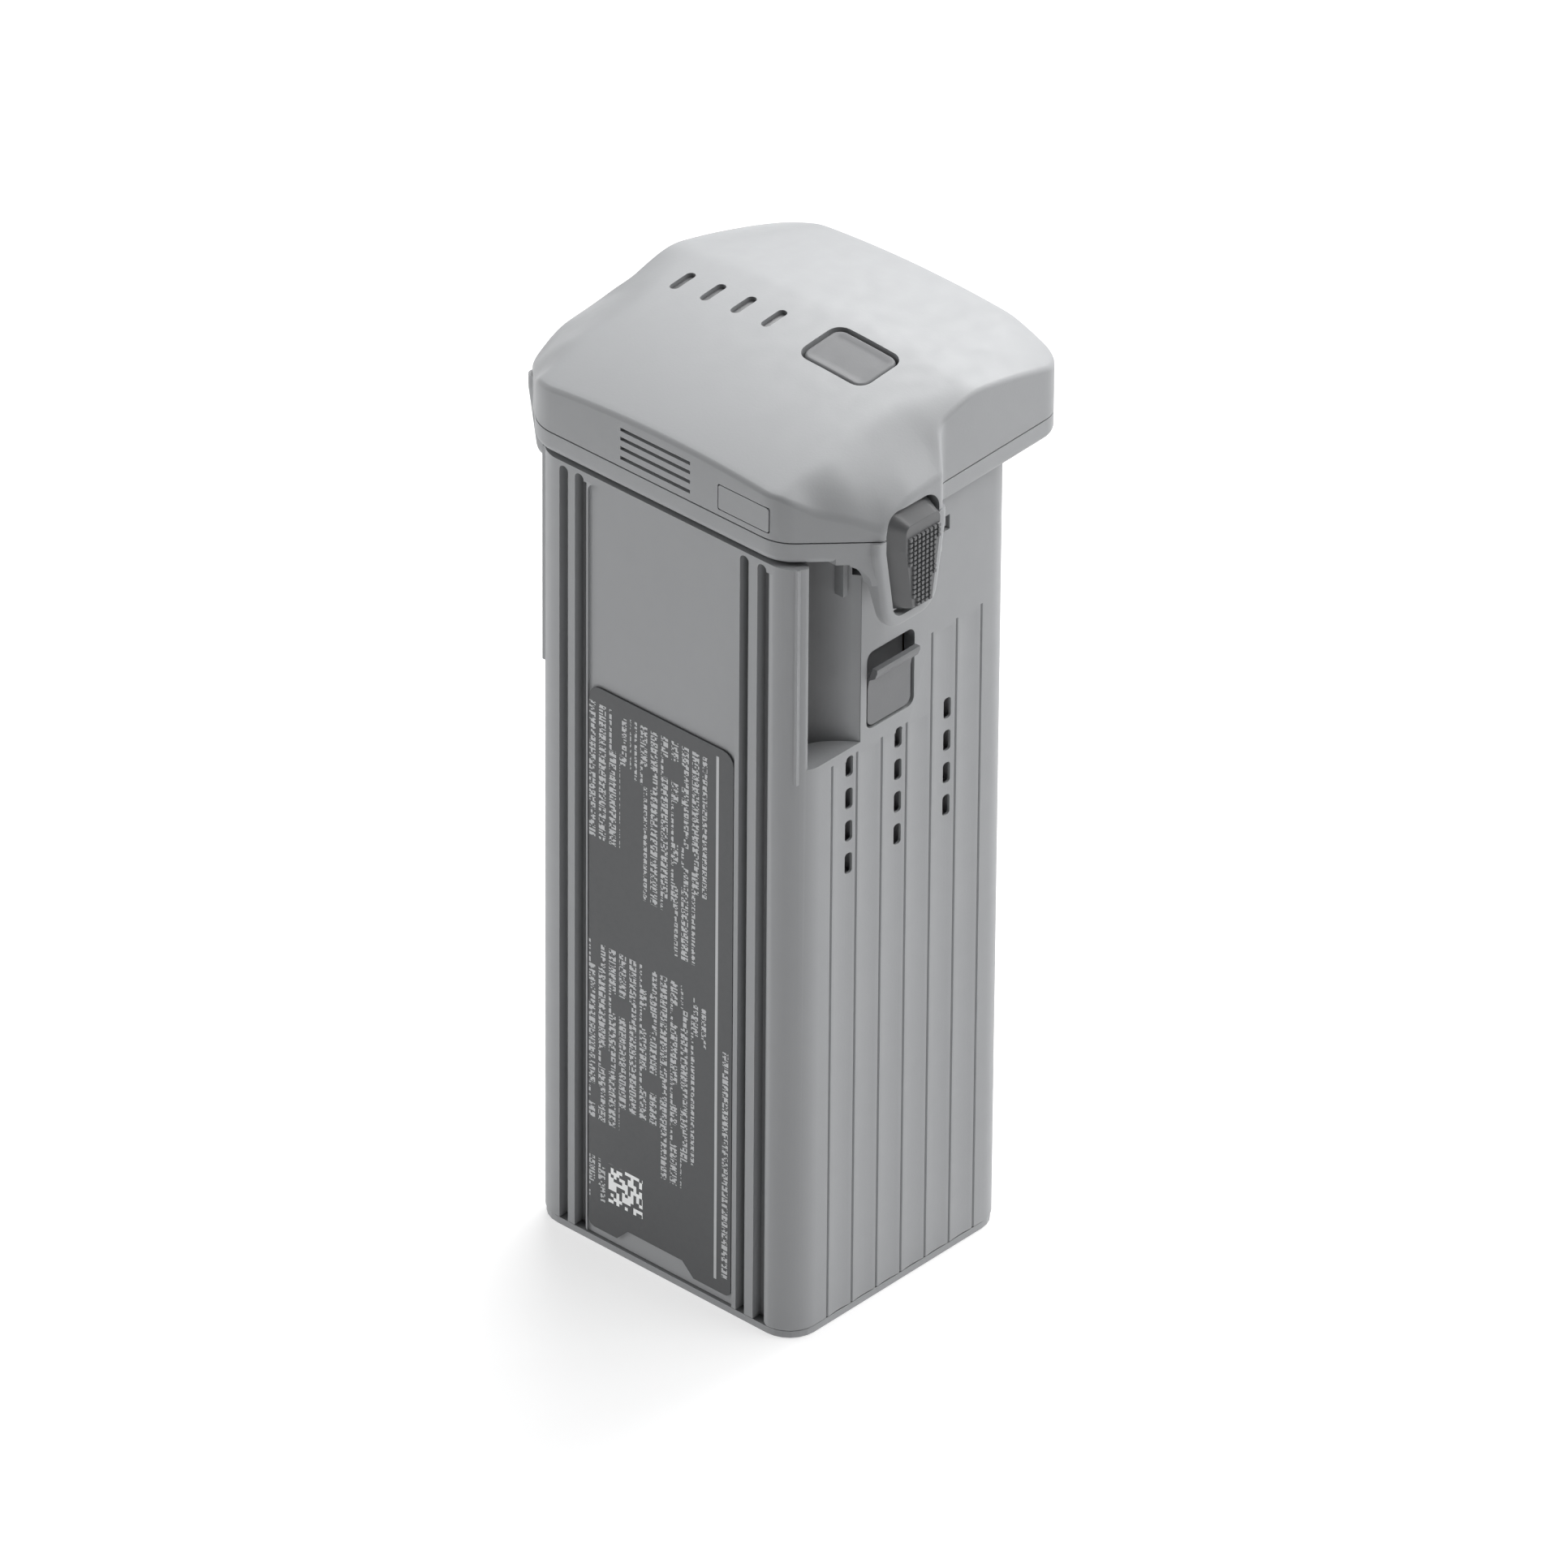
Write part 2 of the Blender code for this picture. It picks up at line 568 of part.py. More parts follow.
def build_head_tray():
    tray = plate("head_tray", [head_outline(0.0)], TRAY_Z0, SEAM_Z - SEAM / 2)
    join(tray, plate("tray_tongue_front", [rectangle(-12, 12, -18.5, -17.2)], 113.6, TRAY_Z0 + 1))
    join(tray, plate("tray_tongue_back", [rectangle(-12, 12, 17.2, 18.5)], 113.6, TRAY_Z0 + 1))
    for side, sign in both_sides():
        boss = latch_boss(f"tray_boss_{side}", sign, BODY_W / 2 + GAP)
        upper = block(f"tray_boss_top_{side}", span(sign, 20, 34), (-16, 4), (SEAM_Z - SEAM / 2, 135))
        behind = [(HEAD_X + sign * (LATCH_FACE - depth), z) for depth, z in SURROUND]
        behind += [(sign * (BODY_W / 2 - 1), z) for _, z in reversed(SURROUND)]
        cut(boss, upper, plate(f"tray_boss_back_{side}", [behind], -16, 4, "Y"))
        nub_y = (CLIP_Y - 0.35, CLIP_Y + 0.35)
        nub = block(f"clip_nub_{side}", span(sign, 20.6, 22.6), nub_y, (112, 113.4))
        tongue = block(f"clip_tongue_{side}", span(sign, 19.7, 20.9), (4.6, 10), (111, TRAY_Z0 + 1))
        join(tray, boss, tongue, nub)
        cut(tray, shield_prism(f"tray_opening_{side}", shield_corners(), *latch_face_span(sign, 12.0, 3)))
    cut(tray, plate("tray_middle", [rectangle(-15, 15, 0, 16, 2)], 110, 125))
    for k, (x, y) in enumerate(cover_screws()):
        cut(tray, rod(f"tray_bore_{k}", x, y, 110, 125, 1.1))
        cut(tray, rod(f"tray_sink_{k}", x, y, 110, TRAY_Z0 + 1.7, SCREW_HEAD_R + 0.25))
    return add_part(tray, "case_grey")


def cover_screws():
    xs = (HEAD_X - 19.0, HEAD_X + 19.0)
    return [(x, y) for x in xs for y in (-15.2, 23.6)]


def build_head_cover():
    floor_z = SEAM_Z + SEAM / 2
    outer, outer_middle = cover_rings(0.0, 0.0, floor_z, EDGE_R)
    inner, inner_middle = cover_rings(WALL, ROOF, floor_z, 0.6)
    cover = lofted("head_cover", outer + inner[::-1], outer_middle, inner_middle)
    for side, sign in both_sides():
        boss = latch_boss(f"cover_boss_{side}", sign, BODY_W / 2 + 0.4)
        cut(boss, block(f"cover_boss_foot_{side}", span(sign, 20, 34), (-16, 4), (100, floor_z)))
        join(cover, boss)
    for k, (x, y) in enumerate(cover_screws()):
        join(cover, rod(f"cover_boss_{k}", x, y, floor_z + 0.1, head_top(x, y) - 1.6, 2.4, 16))
        cut(cover, rod(f"cover_bore_{k}", x, y, floor_z - 1, 126, 1.1, 16))
    for k, (x, y) in enumerate(board_stakes()):
        join(cover, rod(f"board_post_{k}", x, y, BOARD_Z + BOARD_T + 0.1, head_top(x, y) - 1.0, 1.9, 16))
        join(cover, rod(f"board_stake_{k}", x, y, BOARD_Z - 0.6, BOARD_Z + BOARD_T + 1, 1.0, 16))
    for side, sign in both_sides():
        cut(cover, shield_prism(f"cover_opening_{side}", shield_corners(), *latch_face_span(sign, 12.0, 3)))
    cut(cover, plate("button_hole", [button_outline(-0.4)], 126, 140))
    for k in range(LIGHT_COUNT):
        cut(cover, plate(f"light_slot_{k}", [light_outline(k, -0.12)], 126, 140))
    cut_band(cover)
    return add_part(cover, "case_grey")


def cut_band(cover):
    for k, z in enumerate(BAND_LINES_Z):
        line = rectangle(*BAND_LINES_X, z - 0.2, z + 0.2)
        cut(cover, plate(f"band_line_{k}", [line], HEAD_FRONT - 1, HEAD_FRONT + 0.5, "Y"))
    seat = rectangle(*SERVICE_X, *SERVICE_Z, 0.3, 2)
    cut(cover, plate("service_seat", [seat], HEAD_FRONT - 1, HEAD_FRONT + 0.9, "Y"))


def build_service_plate():
    edge = 0.14
    outline = rectangle(
        SERVICE_X[0] + edge, SERVICE_X[1] - edge, SERVICE_Z[0] + edge, SERVICE_Z[1] - edge, 0.3, 2
    )
    return add_part(plate("service_plate", [outline], HEAD_FRONT, HEAD_FRONT + 0.75, "Y"), "case_grey")


def button_outline(inset=0.0):
    x, y = BUTTON_W / 2 - inset, BUTTON_D / 2 - inset
    points = rectangle(-x, x, -y, y, BUTTON_R - inset, 4)
    return [(BUTTON_X + u, BUTTON_Y + v) for u, v in points]


def light_outline(index, inset=0.0):
    x = LIGHT_X0 + index * LIGHT_PITCH
    half_w, half_l = LIGHT_W / 2 - inset, LIGHT_L / 2 - inset
    return rectangle(x - half_w, x + half_w, LIGHT_Y - half_l, LIGHT_Y + half_l, half_w * 0.95, 3)


def build_power_button():
    travel = anchor("power_button_travel", BUTTON_X, BUTTON_Y, 128.0)
    cap = domed_plug("power_button", button_outline, 129.7, 0.1, 0.5)
    flange = rectangle(BUTTON_X - 5.6, BUTTON_X + 5.6, BUTTON_Y - 4.1, BUTTON_Y + 4.1, 2)
    join(cap, plate("button_flange", [flange], 129.2, 130.0))
    join(cap, rod("button_stem", BUTTON_X, BUTTON_Y, 128.9, 129.6, 1.6))
    add_part(cap, "case_grey", travel)
    plunger = rod("switch_plunger", BUTTON_X, BUTTON_Y, 127.3, 128.7, 1.2)
    add_part(plunger, "black_plastic", travel)
    switch = block("tact_switch", *box_about(BUTTON_X, BUTTON_Y, 5.0, 5.0), (BOARD_Z + BOARD_T + 0.1, 128.0))
    cut(switch, rod("switch_bore", BUTTON_X, BUTTON_Y, 126.7, 130, 1.4))
    add_part(switch, "screw_steel")


def box_about(x, y, w, d):
    return (x - w / 2, x + w / 2), (y - d / 2, y + d / 2)


def build_lights():
    top = BOARD_Z + BOARD_T
    for k in range(LIGHT_COUNT):
        x = LIGHT_X0 + k * LIGHT_PITCH
        outline_at = partial(light_outline, k)
        add_part(domed_plug(f"light_pipe_{k + 1}", outline_at, top + 1.1, -0.12, 0.15), "light_pipe")
        led = block(f"status_led_{k + 1}", *box_about(x, LIGHT_Y, 1.6, 3.0), (top + 0.1, top + 0.8))
        add_part(led, "led_resin")


def board_stakes():
    return [(-12.0, -2.6), (1.0, -2.6)]


def build_indicator_board():
    outline = rectangle(-22.5, 15.0, -4.6, 9.4, 1.0)
    board = plate("indicator_board", [outline], BOARD_Z, BOARD_Z + BOARD_T)
    for k, (x, y) in enumerate(board_stakes()):
        cut(board, rod(f"indicator_bore_{k}", x, y, 124, 127, 1.2, 16))
    add_part(board, "circuit_board")


# ---------------------------------------------------------------- latches
def build_latch(side, sign):
    slide = anchor(f"latch_{side}_travel", HEAD_X + sign * LATCH_FACE, LATCH_Y, 117.0)
    outer = HEAD_X + sign * (LATCH_FACE + PAD_PROUD)
    inner = HEAD_X + sign * (LATCH_FACE - PAD_BACK)
    name = f"latch_{side}"
    latch = shield_prism(name, shield_corners(), *sorted((inner, outer)), inset=0.35)
    chamfer_outer_face(latch, outer, sign)
    neck_x = tuple(sorted((sign * ARM_X, inner + sign * 1.0)))
    neck = block(f"{name}_neck", neck_x, (LATCH_Y - NECK_Y, LATCH_Y + NECK_Y), NECK_Z)
    arm_x = span(sign, ARM_X, ARM_X + ARM_T)
    arm = block(f"{name}_arm", arm_x, (WINDOW_Y[0] + 0.5, WINDOW_Y[1] - 0.5), (WINDOW_Z[0] + 0.4, ARM_TOP))
    upper_z = (ARM_TOP - 0.6, NECK_Z[0] + 0.6)
    upper = block(f"{name}_upper_arm", arm_x, (LATCH_Y - 1.4, LATCH_Y + NECK_Y), upper_z)
    hook_loop = [(sign * x, z) for x, z in hook_profile()]
    hook = plate(f"{name}_hook", [hook_loop], WINDOW_Y[0] + GAP, WINDOW_Y[1] - GAP, "Y")
    join(latch, neck, arm, upper, hook)
    add_part(latch, "case_dark", slide)
    build_latch_spring(side, sign)


def hook_profile():
    """The catch in (x, z): a panel flush with the case, flaring to a lip with a groove behind it."""
    flush, proud, low = BODY_W / 2 - 0.1, BODY_W / 2 + HOOK_PROUD, WINDOW_Z[0] + 0.4
    groove_z = HOOK_TOP - 1.7
    return [
        (ARM_X + 0.5, low),
        (flush, low),
        (flush, HOOK_Z0),
        (proud, HOOK_TOP - 0.6),
        (proud, HOOK_TOP),
        (proud - HOOK_LIP, HOOK_TOP),
        (proud - HOOK_LIP - 0.7, groove_z),
        (ARM_X + 0.5, groove_z),
    ]


def chamfer_outer_face(latch, outer, sign):
    """Bevels the rim of the pad's outer face, in the mesh itself, before anything is joined to it."""
    bm = bmesh.new()
    bm.from_mesh(latch.data)
    place = latch.matrix_world
    rim = [
        edge
        for edge in bm.edges
        if all(abs((place @ v.co).x - outer * MM) < 1e-6 for v in edge.verts) and not edge.is_boundary
    ]
    bmesh.ops.bevel(bm, geom=rim, offset=0.9 * MM, segments=1, affect="EDGES")
    bm.to_mesh(latch.data)
    bm.free()


def build_latch_spring(side, sign):
    turns, per_turn, radius, wire = 6, 10, 1.15, 0.22
    start, end = 12.3, ARM_X - 0.35
    path = []
    for k in range(turns * per_turn + 1):
        angle = 2 * math.pi * k / per_turn
        x = start + (end - start) * k / (turns * per_turn)
        path.append((sign * x, LATCH_Y + radius * math.cos(angle), 119.3 + radius * math.sin(angle)))
    add_part(tube(f"latch_spring_{side}", path, wire, 1), "spring_steel")


# ---------------------------------------------------------------- inside
def cell_centres():
    pitch = CELL_T + PAD_T
    return [(k - (CELL_COUNT - 1) / 2) * pitch for k in range(CELL_COUNT)]


def build_cells():
    for k, y in enumerate(cell_centres()):
        half = CELL_T / 2
        cell = block(f"cell_{k + 1}", (-CELL_W / 2, CELL_W / 2), (y - half, y + half), (CELL_Z0, CELL_Z1))
        round_edges(cell, 1.6, 3)
        terrace = block(
            f"cell_terrace_{k}", (-CELL_W / 2 + 1.6, CELL_W / 2 - 1.6), (y - 1.2, y + 1.2), (CELL_Z1 - 1, 101.4)
        )
        join(cell, terrace)
        for sign in (-1, 1):
            tab = block(
                f"cell_tab_{k}_{sign + 1}",
                (sign * TAB_X - TAB_W / 2, sign * TAB_X + TAB_W / 2),
                (y - TAB_T / 2, y + TAB_T / 2),
                (100.5, TAB_Z1),
            )
            join(cell, tab)
        add_part(cell, "cell_film")
    for k, (low, high) in enumerate(zip(cell_centres(), cell_centres()[1:])):
        middle, half = (low + high) / 2, PAD_T / 2 - 0.1
        outline = rectangle(-CELL_W / 2 + 1.8, CELL_W / 2 - 1.8, CELL_Z0 + 2, CELL_Z1 - 2, 2)
        add_part(plate(f"foam_pad_{k + 1}", [outline], middle - half, middle + half, "Y"), "foam")


def build_carrier():
    slots = []
    for y in cell_centres():
        for x in (-TAB_X, TAB_X):
            slots.append(rectangle(x - TAB_W / 2 - 0.5, x + TAB_W / 2 + 0.5, y - 0.7, y + 0.7))
    outline = rectangle(-17.0, 17.0, -18.2, 18.2, 1.5)
    carrier = plate("tab_carrier", [outline, *slots], CARRIER_Z, CARRIER_Z + CARRIER_T)
    for k, x in enumerate((-14.0, 14.0)):
        join(carrier, rod(f"carrier_post_{k}", x, -15.0, CARRIER_Z + 0.5, MAIN_Z - 0.1, 1.7, 16))
        cut(carrier, rod(f"carrier_bore_{k}", x, -15.0, CARRIER_Z + 1.6, MAIN_Z + 1, 0.9, 16))
    add_part(carrier, "black_plastic")
    ys = cell_centres()
    links = {
        "bus_bar_1_2": (TAB_X, ys[0], ys[1]),
        "bus_bar_2_3": (-TAB_X, ys[1], ys[2]),
        "bus_bar_3_4": (TAB_X, ys[2], ys[3]),
        "bus_bar_negative": (-TAB_X, ys[0] - 2.4, ys[0] + 0.8),
        "bus_bar_positive": (-TAB_X, ys[3] - 0.8, ys[3] + 2.4),
    }
    for name, (x, y0, y1) in links.items():
        bar = rectangle(x - TAB_W / 2, x + TAB_W / 2, y0 - 1.5, y1 + 1.5, 0.5, 2)
        add_part(plate(name, [bar], TAB_Z1 + 0.3, TAB_Z1 + 0.9), "nickel")


def build_main_board():
    top = MAIN_Z + MAIN_T
    outline = rectangle(-16.8, 16.8, -17.0, 17.0, 1.5)
    board = plate("main_board", [outline], MAIN_Z, top)
    for k, x in enumerate((-14.0, 14.0)):
        cut(board, rod(f"main_bore_{k}", x, -15.0, MAIN_Z - 1, top + 1, 1.0, 16))
        add_part(screw_solid(f"board_screw_{k + 1}", x, -15.0, top + 1.4, 2.6, 1.5, 0.75, -1), "screw_steel")
    add_part(board, "circuit_board")
    for k, x in enumerate((-6.0, 6.0)):
        chip_z = (top + 0.1, top + 1.1)
        chip = block(f"power_transistor_{k + 1}", (x - 4.0, x + 4.0), (-9.0, -3.6), chip_z)
        add_part(chip, "black_plastic")
    spreader = plate("heat_spreader", [rectangle(-12.0, 12.0, -9.6, -3.0, 0.6)], top + 1.25, top + 1.85)
    add_part(spreader, "nickel")
    sense = block("sense_connector", (-6.0, 6.0), (11.5, 15.5), (top + 0.1, top + 2.0))
    cut(sense, block("sense_slot", (-5.0, 5.0), (12.6, 14.4), (top + 0.8, top + 3)))
    add_part(sense, "white_plastic")


def build_leads():
    leads = (("positive_lead", 1, "red_silicone"), ("negative_lead", -1, "black_silicone"))
    for name, sign, material in leads:
        path = [
            (14.2, LEAD_Y, MAIN_Z - 1.5),
            (17.4, LEAD_Y, MAIN_Z - 1.6),
            (18.8, LEAD_Y, MAIN_Z - 2.6),
            (LEAD_X, LEAD_Y, MAIN_Z - 4.2),
            (LEAD_X, LEAD_Y, 13.0),
            (18.8, LEAD_Y - 1.2, 9.6),
            (17.6, LEAD_Y - 3.6, 6.9),
            (14.6, 7.4, 5.2),
        ]
        add_part(tube(name, [(sign * x, y, z) for x, y, z in path], LEAD_R), material)
    top = MAIN_Z + MAIN_T
    ribbon = [(13.4, 7.3), (18.45, 10.5), (18.45, 104.0), (17.3, 107.4), (14.0, 107.5)]
    add_part(strip("signal_ribbon", ribbon, 0.35, 1.8, 6.4, "Y"), "ribbon_film")
    flex_end = (5.8, BOARD_Z - 0.5)
    flex = [(4.5, top + 0.4), (7.6, top + 0.5), (9.4, 113.0), (9.4, 121.6), (8.2, 123.6), flex_end]
    add_part(strip("indicator_ribbon", flex, 0.35, -9.0, -3.0, "X"), "ribbon_film")
    bead = block("thermistor", (-19.6, -17.9), (6.0, 9.0), (56.0, 60.5))
    add_part(round_edges(bead, 0.5, 2), "black_plastic")


def strip(name, path, thickness, low, high, axis):
    """A flat band that follows a path in the plane across the axis."""
    spots = [Vector(p) for p in path]
    offsets = []
    for k, spot in enumerate(spots):
        run = (spots[min(k + 1, len(spots) - 1)] - spots[max(k - 1, 0)]).normalized()
        offsets.append(Vector((-run.y, run.x)) * thickness / 2)
    upper = [tuple(s + o) for s, o in zip(spots, offsets)]
    lower = [tuple(s - o) for s, o in zip(spots, offsets)]
    return plate(name, [upper + lower[::-1]], low, high, axis)


def build_connector():
    z0 = CAP_T + 0.1
    footprint = box_about(0, CONNECTOR_Y, CONNECTOR_W, CONNECTOR_D)
    housing = block("connector_housing", *footprint, (z0, CONNECTOR_Z1))
    nose = rectangle(-11.9, 11.9, CONNECTOR_Y - 4.4, CONNECTOR_Y + 4.4, 0.8)
    join(housing, plate("connector_spigot", [nose], 0.3, z0 + 1))
    for k, slot_x in enumerate(power_slots()):
        cut(housing, block(f"power_slot_{k}", *box_about(slot_x, CONNECTOR_Y, 4.2, 6.6), (-1, 7.4)))
    cut(housing, block("signal_slot", *box_about(0, CONNECTOR_Y, 9.2, 3.2), (-1, 7.4)))
    add_part(housing, "black_plastic")
    for name, slot_x in zip(("power_contact_negative", "power_contact_positive"), power_slots()):
        add_part(block(name, *box_about(slot_x, CONNECTOR_Y, 0.8, 5.0), (1.4, 7.1)), "nickel")
    comb = block("signal_contacts", *box_about(0, CONNECTOR_Y, 8.4, 1.0), (6.2, 7.1))
    for k in range(5):
        tooth_x = -3.4 + 1.7 * k
        join(comb, block(f"signal_tooth_{k}", *box_about(tooth_x, CONNECTOR_Y, 0.6, 0.8), (1.6, 6.5)))
    add_part(comb, "nickel")


def power_slots():
    return (-8.6, 8.6)


# ---------------------------------------------------------------- screws
def screw_solid(name, x, y, z, length, head_r, shank_r, up=1):
    """A countersunk-head screw whose head starts at z and whose shank runs up, or down for up = -1."""
    shank = [(0, length), (shank_r, length), (shank_r, 1.2)]
    head = [(head_r, 1.0), (head_r, 0), (SOCKET_R, 0), (SOCKET_R, 0.5), (0, 0.5)]
    return turned(name, shank + head, x, y, z, up, 16)


def build_screws():
    for k, (x, y) in enumerate(foot_screws()):
        screw = screw_solid(f"foot_screw_{k + 1}", x, y, 0.5, 7.8, SCREW_HEAD_R - 0.2, SCREW_R)
        add_part(screw, "screw_steel")
    for k, (x, y) in enumerate(cover_screws()):
        head_z, head_r = TRAY_Z0 + 0.4, SCREW_HEAD_R - 0.1
        screw = screw_solid(f"cover_screw_{k + 1}", x, y, head_z, 7.2, head_r, SCREW_R)
        add_part(screw, "screw_steel")


def build():
    build_body_shell()
    build_bottom_cap()
    build_label()
    build_head_tray()
    build_head_cover()
    build_service_plate()
    build_power_button()
    build_lights()
    build_indicator_board()
    for side, sign in both_sides():
        build_latch(side, sign)
    build_cells()
    build_carrier()
    build_main_board()
    build_leads()
    build_connector()
    build_screws()


clear_scene()
PARTS = new_collection("smart_battery_pack")
TOOLS = new_collection("cutters")
MATERIALS = make_materials()
build()
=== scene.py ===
"""Studio scene of the slide-in smart battery pack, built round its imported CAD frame.

Sizes are in millimetres and become metres through MM. +X runs along the label face, the label face
looks along -Y, and +Z is up.
"""

import json
import math
from functools import partial

import bmesh
import bpy
import numpy as np
from mathutils import Matrix, Vector


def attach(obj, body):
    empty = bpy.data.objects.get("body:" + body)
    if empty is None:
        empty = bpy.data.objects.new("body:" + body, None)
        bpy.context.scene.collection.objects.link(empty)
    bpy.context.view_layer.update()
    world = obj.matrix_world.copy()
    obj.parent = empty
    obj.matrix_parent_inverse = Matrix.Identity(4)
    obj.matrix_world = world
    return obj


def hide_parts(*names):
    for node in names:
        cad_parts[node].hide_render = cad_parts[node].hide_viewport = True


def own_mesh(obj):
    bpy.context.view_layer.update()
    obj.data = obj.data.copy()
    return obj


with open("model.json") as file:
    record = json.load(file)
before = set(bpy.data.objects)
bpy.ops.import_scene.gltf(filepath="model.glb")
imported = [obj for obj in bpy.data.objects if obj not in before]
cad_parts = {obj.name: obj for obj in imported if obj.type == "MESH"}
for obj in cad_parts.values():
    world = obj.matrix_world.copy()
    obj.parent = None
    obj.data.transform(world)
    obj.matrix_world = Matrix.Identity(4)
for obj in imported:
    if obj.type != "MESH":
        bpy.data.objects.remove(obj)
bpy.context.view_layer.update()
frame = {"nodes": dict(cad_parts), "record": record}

MM = 0.001

# Case
BODY_W, BODY_D, BODY_R, WALL = 46.0, 41.3, 4.5, 1.8
BODY_Z0, BODY_Z1 = 1.2, 117.4
GROOVES_X = (-17.2, -14.5, 13.9, 16.9)
GROOVE_W, GROOVE_DEPTH = 1.5, 1.55
RAMP_W, RAMP_DEPTH = 1.1, 0.55
PANEL_X, PANEL_Z1, PANEL_DEPTH = (-13.2, 12.4), 116.2, 0.5
FLUTE_PITCH, FLUTE_COUNT, FLUTE_Y0 = 4.68, 7, -13.85
FLUTE_TOPS = (86.0, 97.4)
FLUTE_W, FLUTE_DEPTH, BAND_DEPTH = 0.42, 0.34, 0.14
VENT_Y, VENT_PITCH, VENT_ROWS, VENT_Z0 = (-10.55, -1.3, 8.0), 4.913, 4, 69.72
VENT_W, VENT_H, VENT_R, VENT_RIB = 1.3, 3.1, 0.5, 0.45
VENT_POCKET_Y, VENT_POCKET_Z = (-1.7, 1.1), 0.5  # the room behind a vent, from its middle and past its ends
GUIDE_Z0 = 87.2
GUIDE = (
    (22.4, -18.42), (22.42, -17.95), (21.9, -17.5), (20.6, -17.0), (19.1, -16.2),
    (18.35, -14.9), (18.5, -13.3), (19.6, -11.5), (21.2, -9.9), (22.9, -8.6),
)
GUIDE_BEYOND_X = 24.0  # outside the case, where the guide's cutter closes
GUIDE_PAD_X, GUIDE_PAD_Y = (17.75, 22.0), (-19.5, -8.9)
PEG_X, PEG_Y, PEG_Z0 = (20.5, 21.9), (-10.9, -10.1), 109.5
THROUGH_SIDE_X = (20, 25)  # right through the side wall
BOSS_X, BOSS_Y, BOSS_R, BOSS_Z, PILOT_R = 18.6, 16.2, 2.7, (4.4, 9.2), 1.1

# Head, drawn about its own centre line
HEAD_X, HEAD_FRONT, HEAD_BACK, LATCH_FACE = -1.2, -20.8, 28.3, 30.3
CHEEKS_X = {"left": (27.2, 26.5), "right": (26.3, 25.6)}
TRAY_Z0, SEAM_Z, SEAM, ROOF = 117.7, 121.0, 0.2, 2.0
RIDGE_Y, FRONT_Z, CROWN_R, EDGE_R, SOFTEN = 10.7, 128.5, 178.0, 0.6, 1.4
FRONT_RISE, FRONT_BEND, BACK_FALL, BACK_BEND = 0.2904, 0.0041, 0.085, 0.001
COVER_RINGS, COVER_MIDDLE_Y, THROUGH_ROOF_Z = 34, 4.0, (126, 140)
# How the head falls away at its sides, by y: where the fall starts, how deep it gets, and how hollow it is
SIDE_Y = (-17.0, -12.5, -11.3, -9.5, -6.0, -3.0, 0.0, 3.0, 6.0, 9.0, 12.0, 15.0, 18.0, 21.0, 24.0, 28.3)
SIDE_CREASE = (21.0, 21.0, 20.9, 20.7, 20.5, 20.6, 21.0, 22.0, 22.5, 22.5, 22.0, 21.0, 20.0, 19.0, 18.0, 16.0)
SIDE_DROP = (9.0, 7.0, 6.1, 4.9, 4.0, 4.2, 4.4, 3.3, 1.9, 0.7, 0.3, 1.0, 1.7, 2.5, 3.3, 4.3)
SIDE_POWER = (1.1, 1.8, 1.7, 1.5, 1.3, 1.4, 1.5, 1.4, 1.2, 1.2, 1.2, 1.2, 1.2, 1.2, 1.2, 1.2)

# Head tray
TRAY_EDGE_R, TRAY_CLEAR = 1.3, (-15, 15, 0, 16, 2)
TONGUE_X, TONGUE_Z0, TONGUES_Y = (-12, 12), 113.6, {"front": (-18.5, -17.2), "back": (17.2, 18.5)}
CLIP_Y, CLIP_Z = 7.25, 112.7
CLIP_WINDOW_HALF, CLIP_NUB_X, CLIP_NUB_HALF_W, CLIP_NUB_Z = (0.65, 1.1), (20.6, 22.6), 0.35, (112, 113.4)
CLIP_TONGUE_X, CLIP_TONGUE_Y, CLIP_TONGUE_Z0 = (19.7, 20.9), (4.6, 10), 111
COVER_SCREW_X, COVER_SCREW_Y, COVER_BORE_R, COVER_SINK_R, COVER_SINK = 19.0, (-15.2, 23.6), 1.1, 2.05, 1.7
THROUGH_TRAY_Z = (110, 125)

# Latches
LATCH_Y = -5.9
SURROUND = ((3.1, TRAY_Z0), (1.1, 106.5))
OPENING_TOP, OPENING_BOTTOM, OPENING_HALF_W, OPENING_TIP_HALF_W = 124.4, 108.6, 4.95, 3.3
RIM_TOP, RIM_SIDE, RIM_BOTTOM, SWOOP_R = 0.6, 1.6, 1.7, 3.2
ARM_X, ARM_T = 19.9, 1.2
WINDOW_Y, WINDOW_Z = (-7.5, 1.5), (88.3, 99.9)
HOOK_Z0, HOOK_TOP, HOOK_LIP, HOOK_PROUD = 94.4, 97.9, 0.8, 1.5
NECK_Y, NECK_Z, ARM_TOP = 2.7, (113.4, 123.4), 111.6
NECK_GAP, NECK_NOTCH_Z = 0.7, (112.2, 119)
LEAF_GAP, LEAF_Z0, HOOK_GAPS = 0.2, WINDOW_Z[0] + 0.4, (0.3, 0.6)
BEZEL_EDGE_R, SWOOP_TUCK = 0.8, 0.15
PAD_GAP, PAD_SUNK, PAD_PROUD, PAD_BACK = 0.45, 1.3, 0.9, 2.6
PLATEAU_INSET, PLATEAU_BACK, PLATEAU_Z = 1.75, 0.95, (109.5, 122.0)
GRIP_PITCH_Y, GRIP_PITCH_Z, GRIP_RISE, GRIP_MARGIN, GRIP_TOP_MARGIN = 0.75, 0.72, 0.3, 0.35, 1.7
STUD_BASE, STUD_TOP, STUD_SUNK = 0.3, 0.22, 0.05  # half widths, and how deep a stud starts in the pad

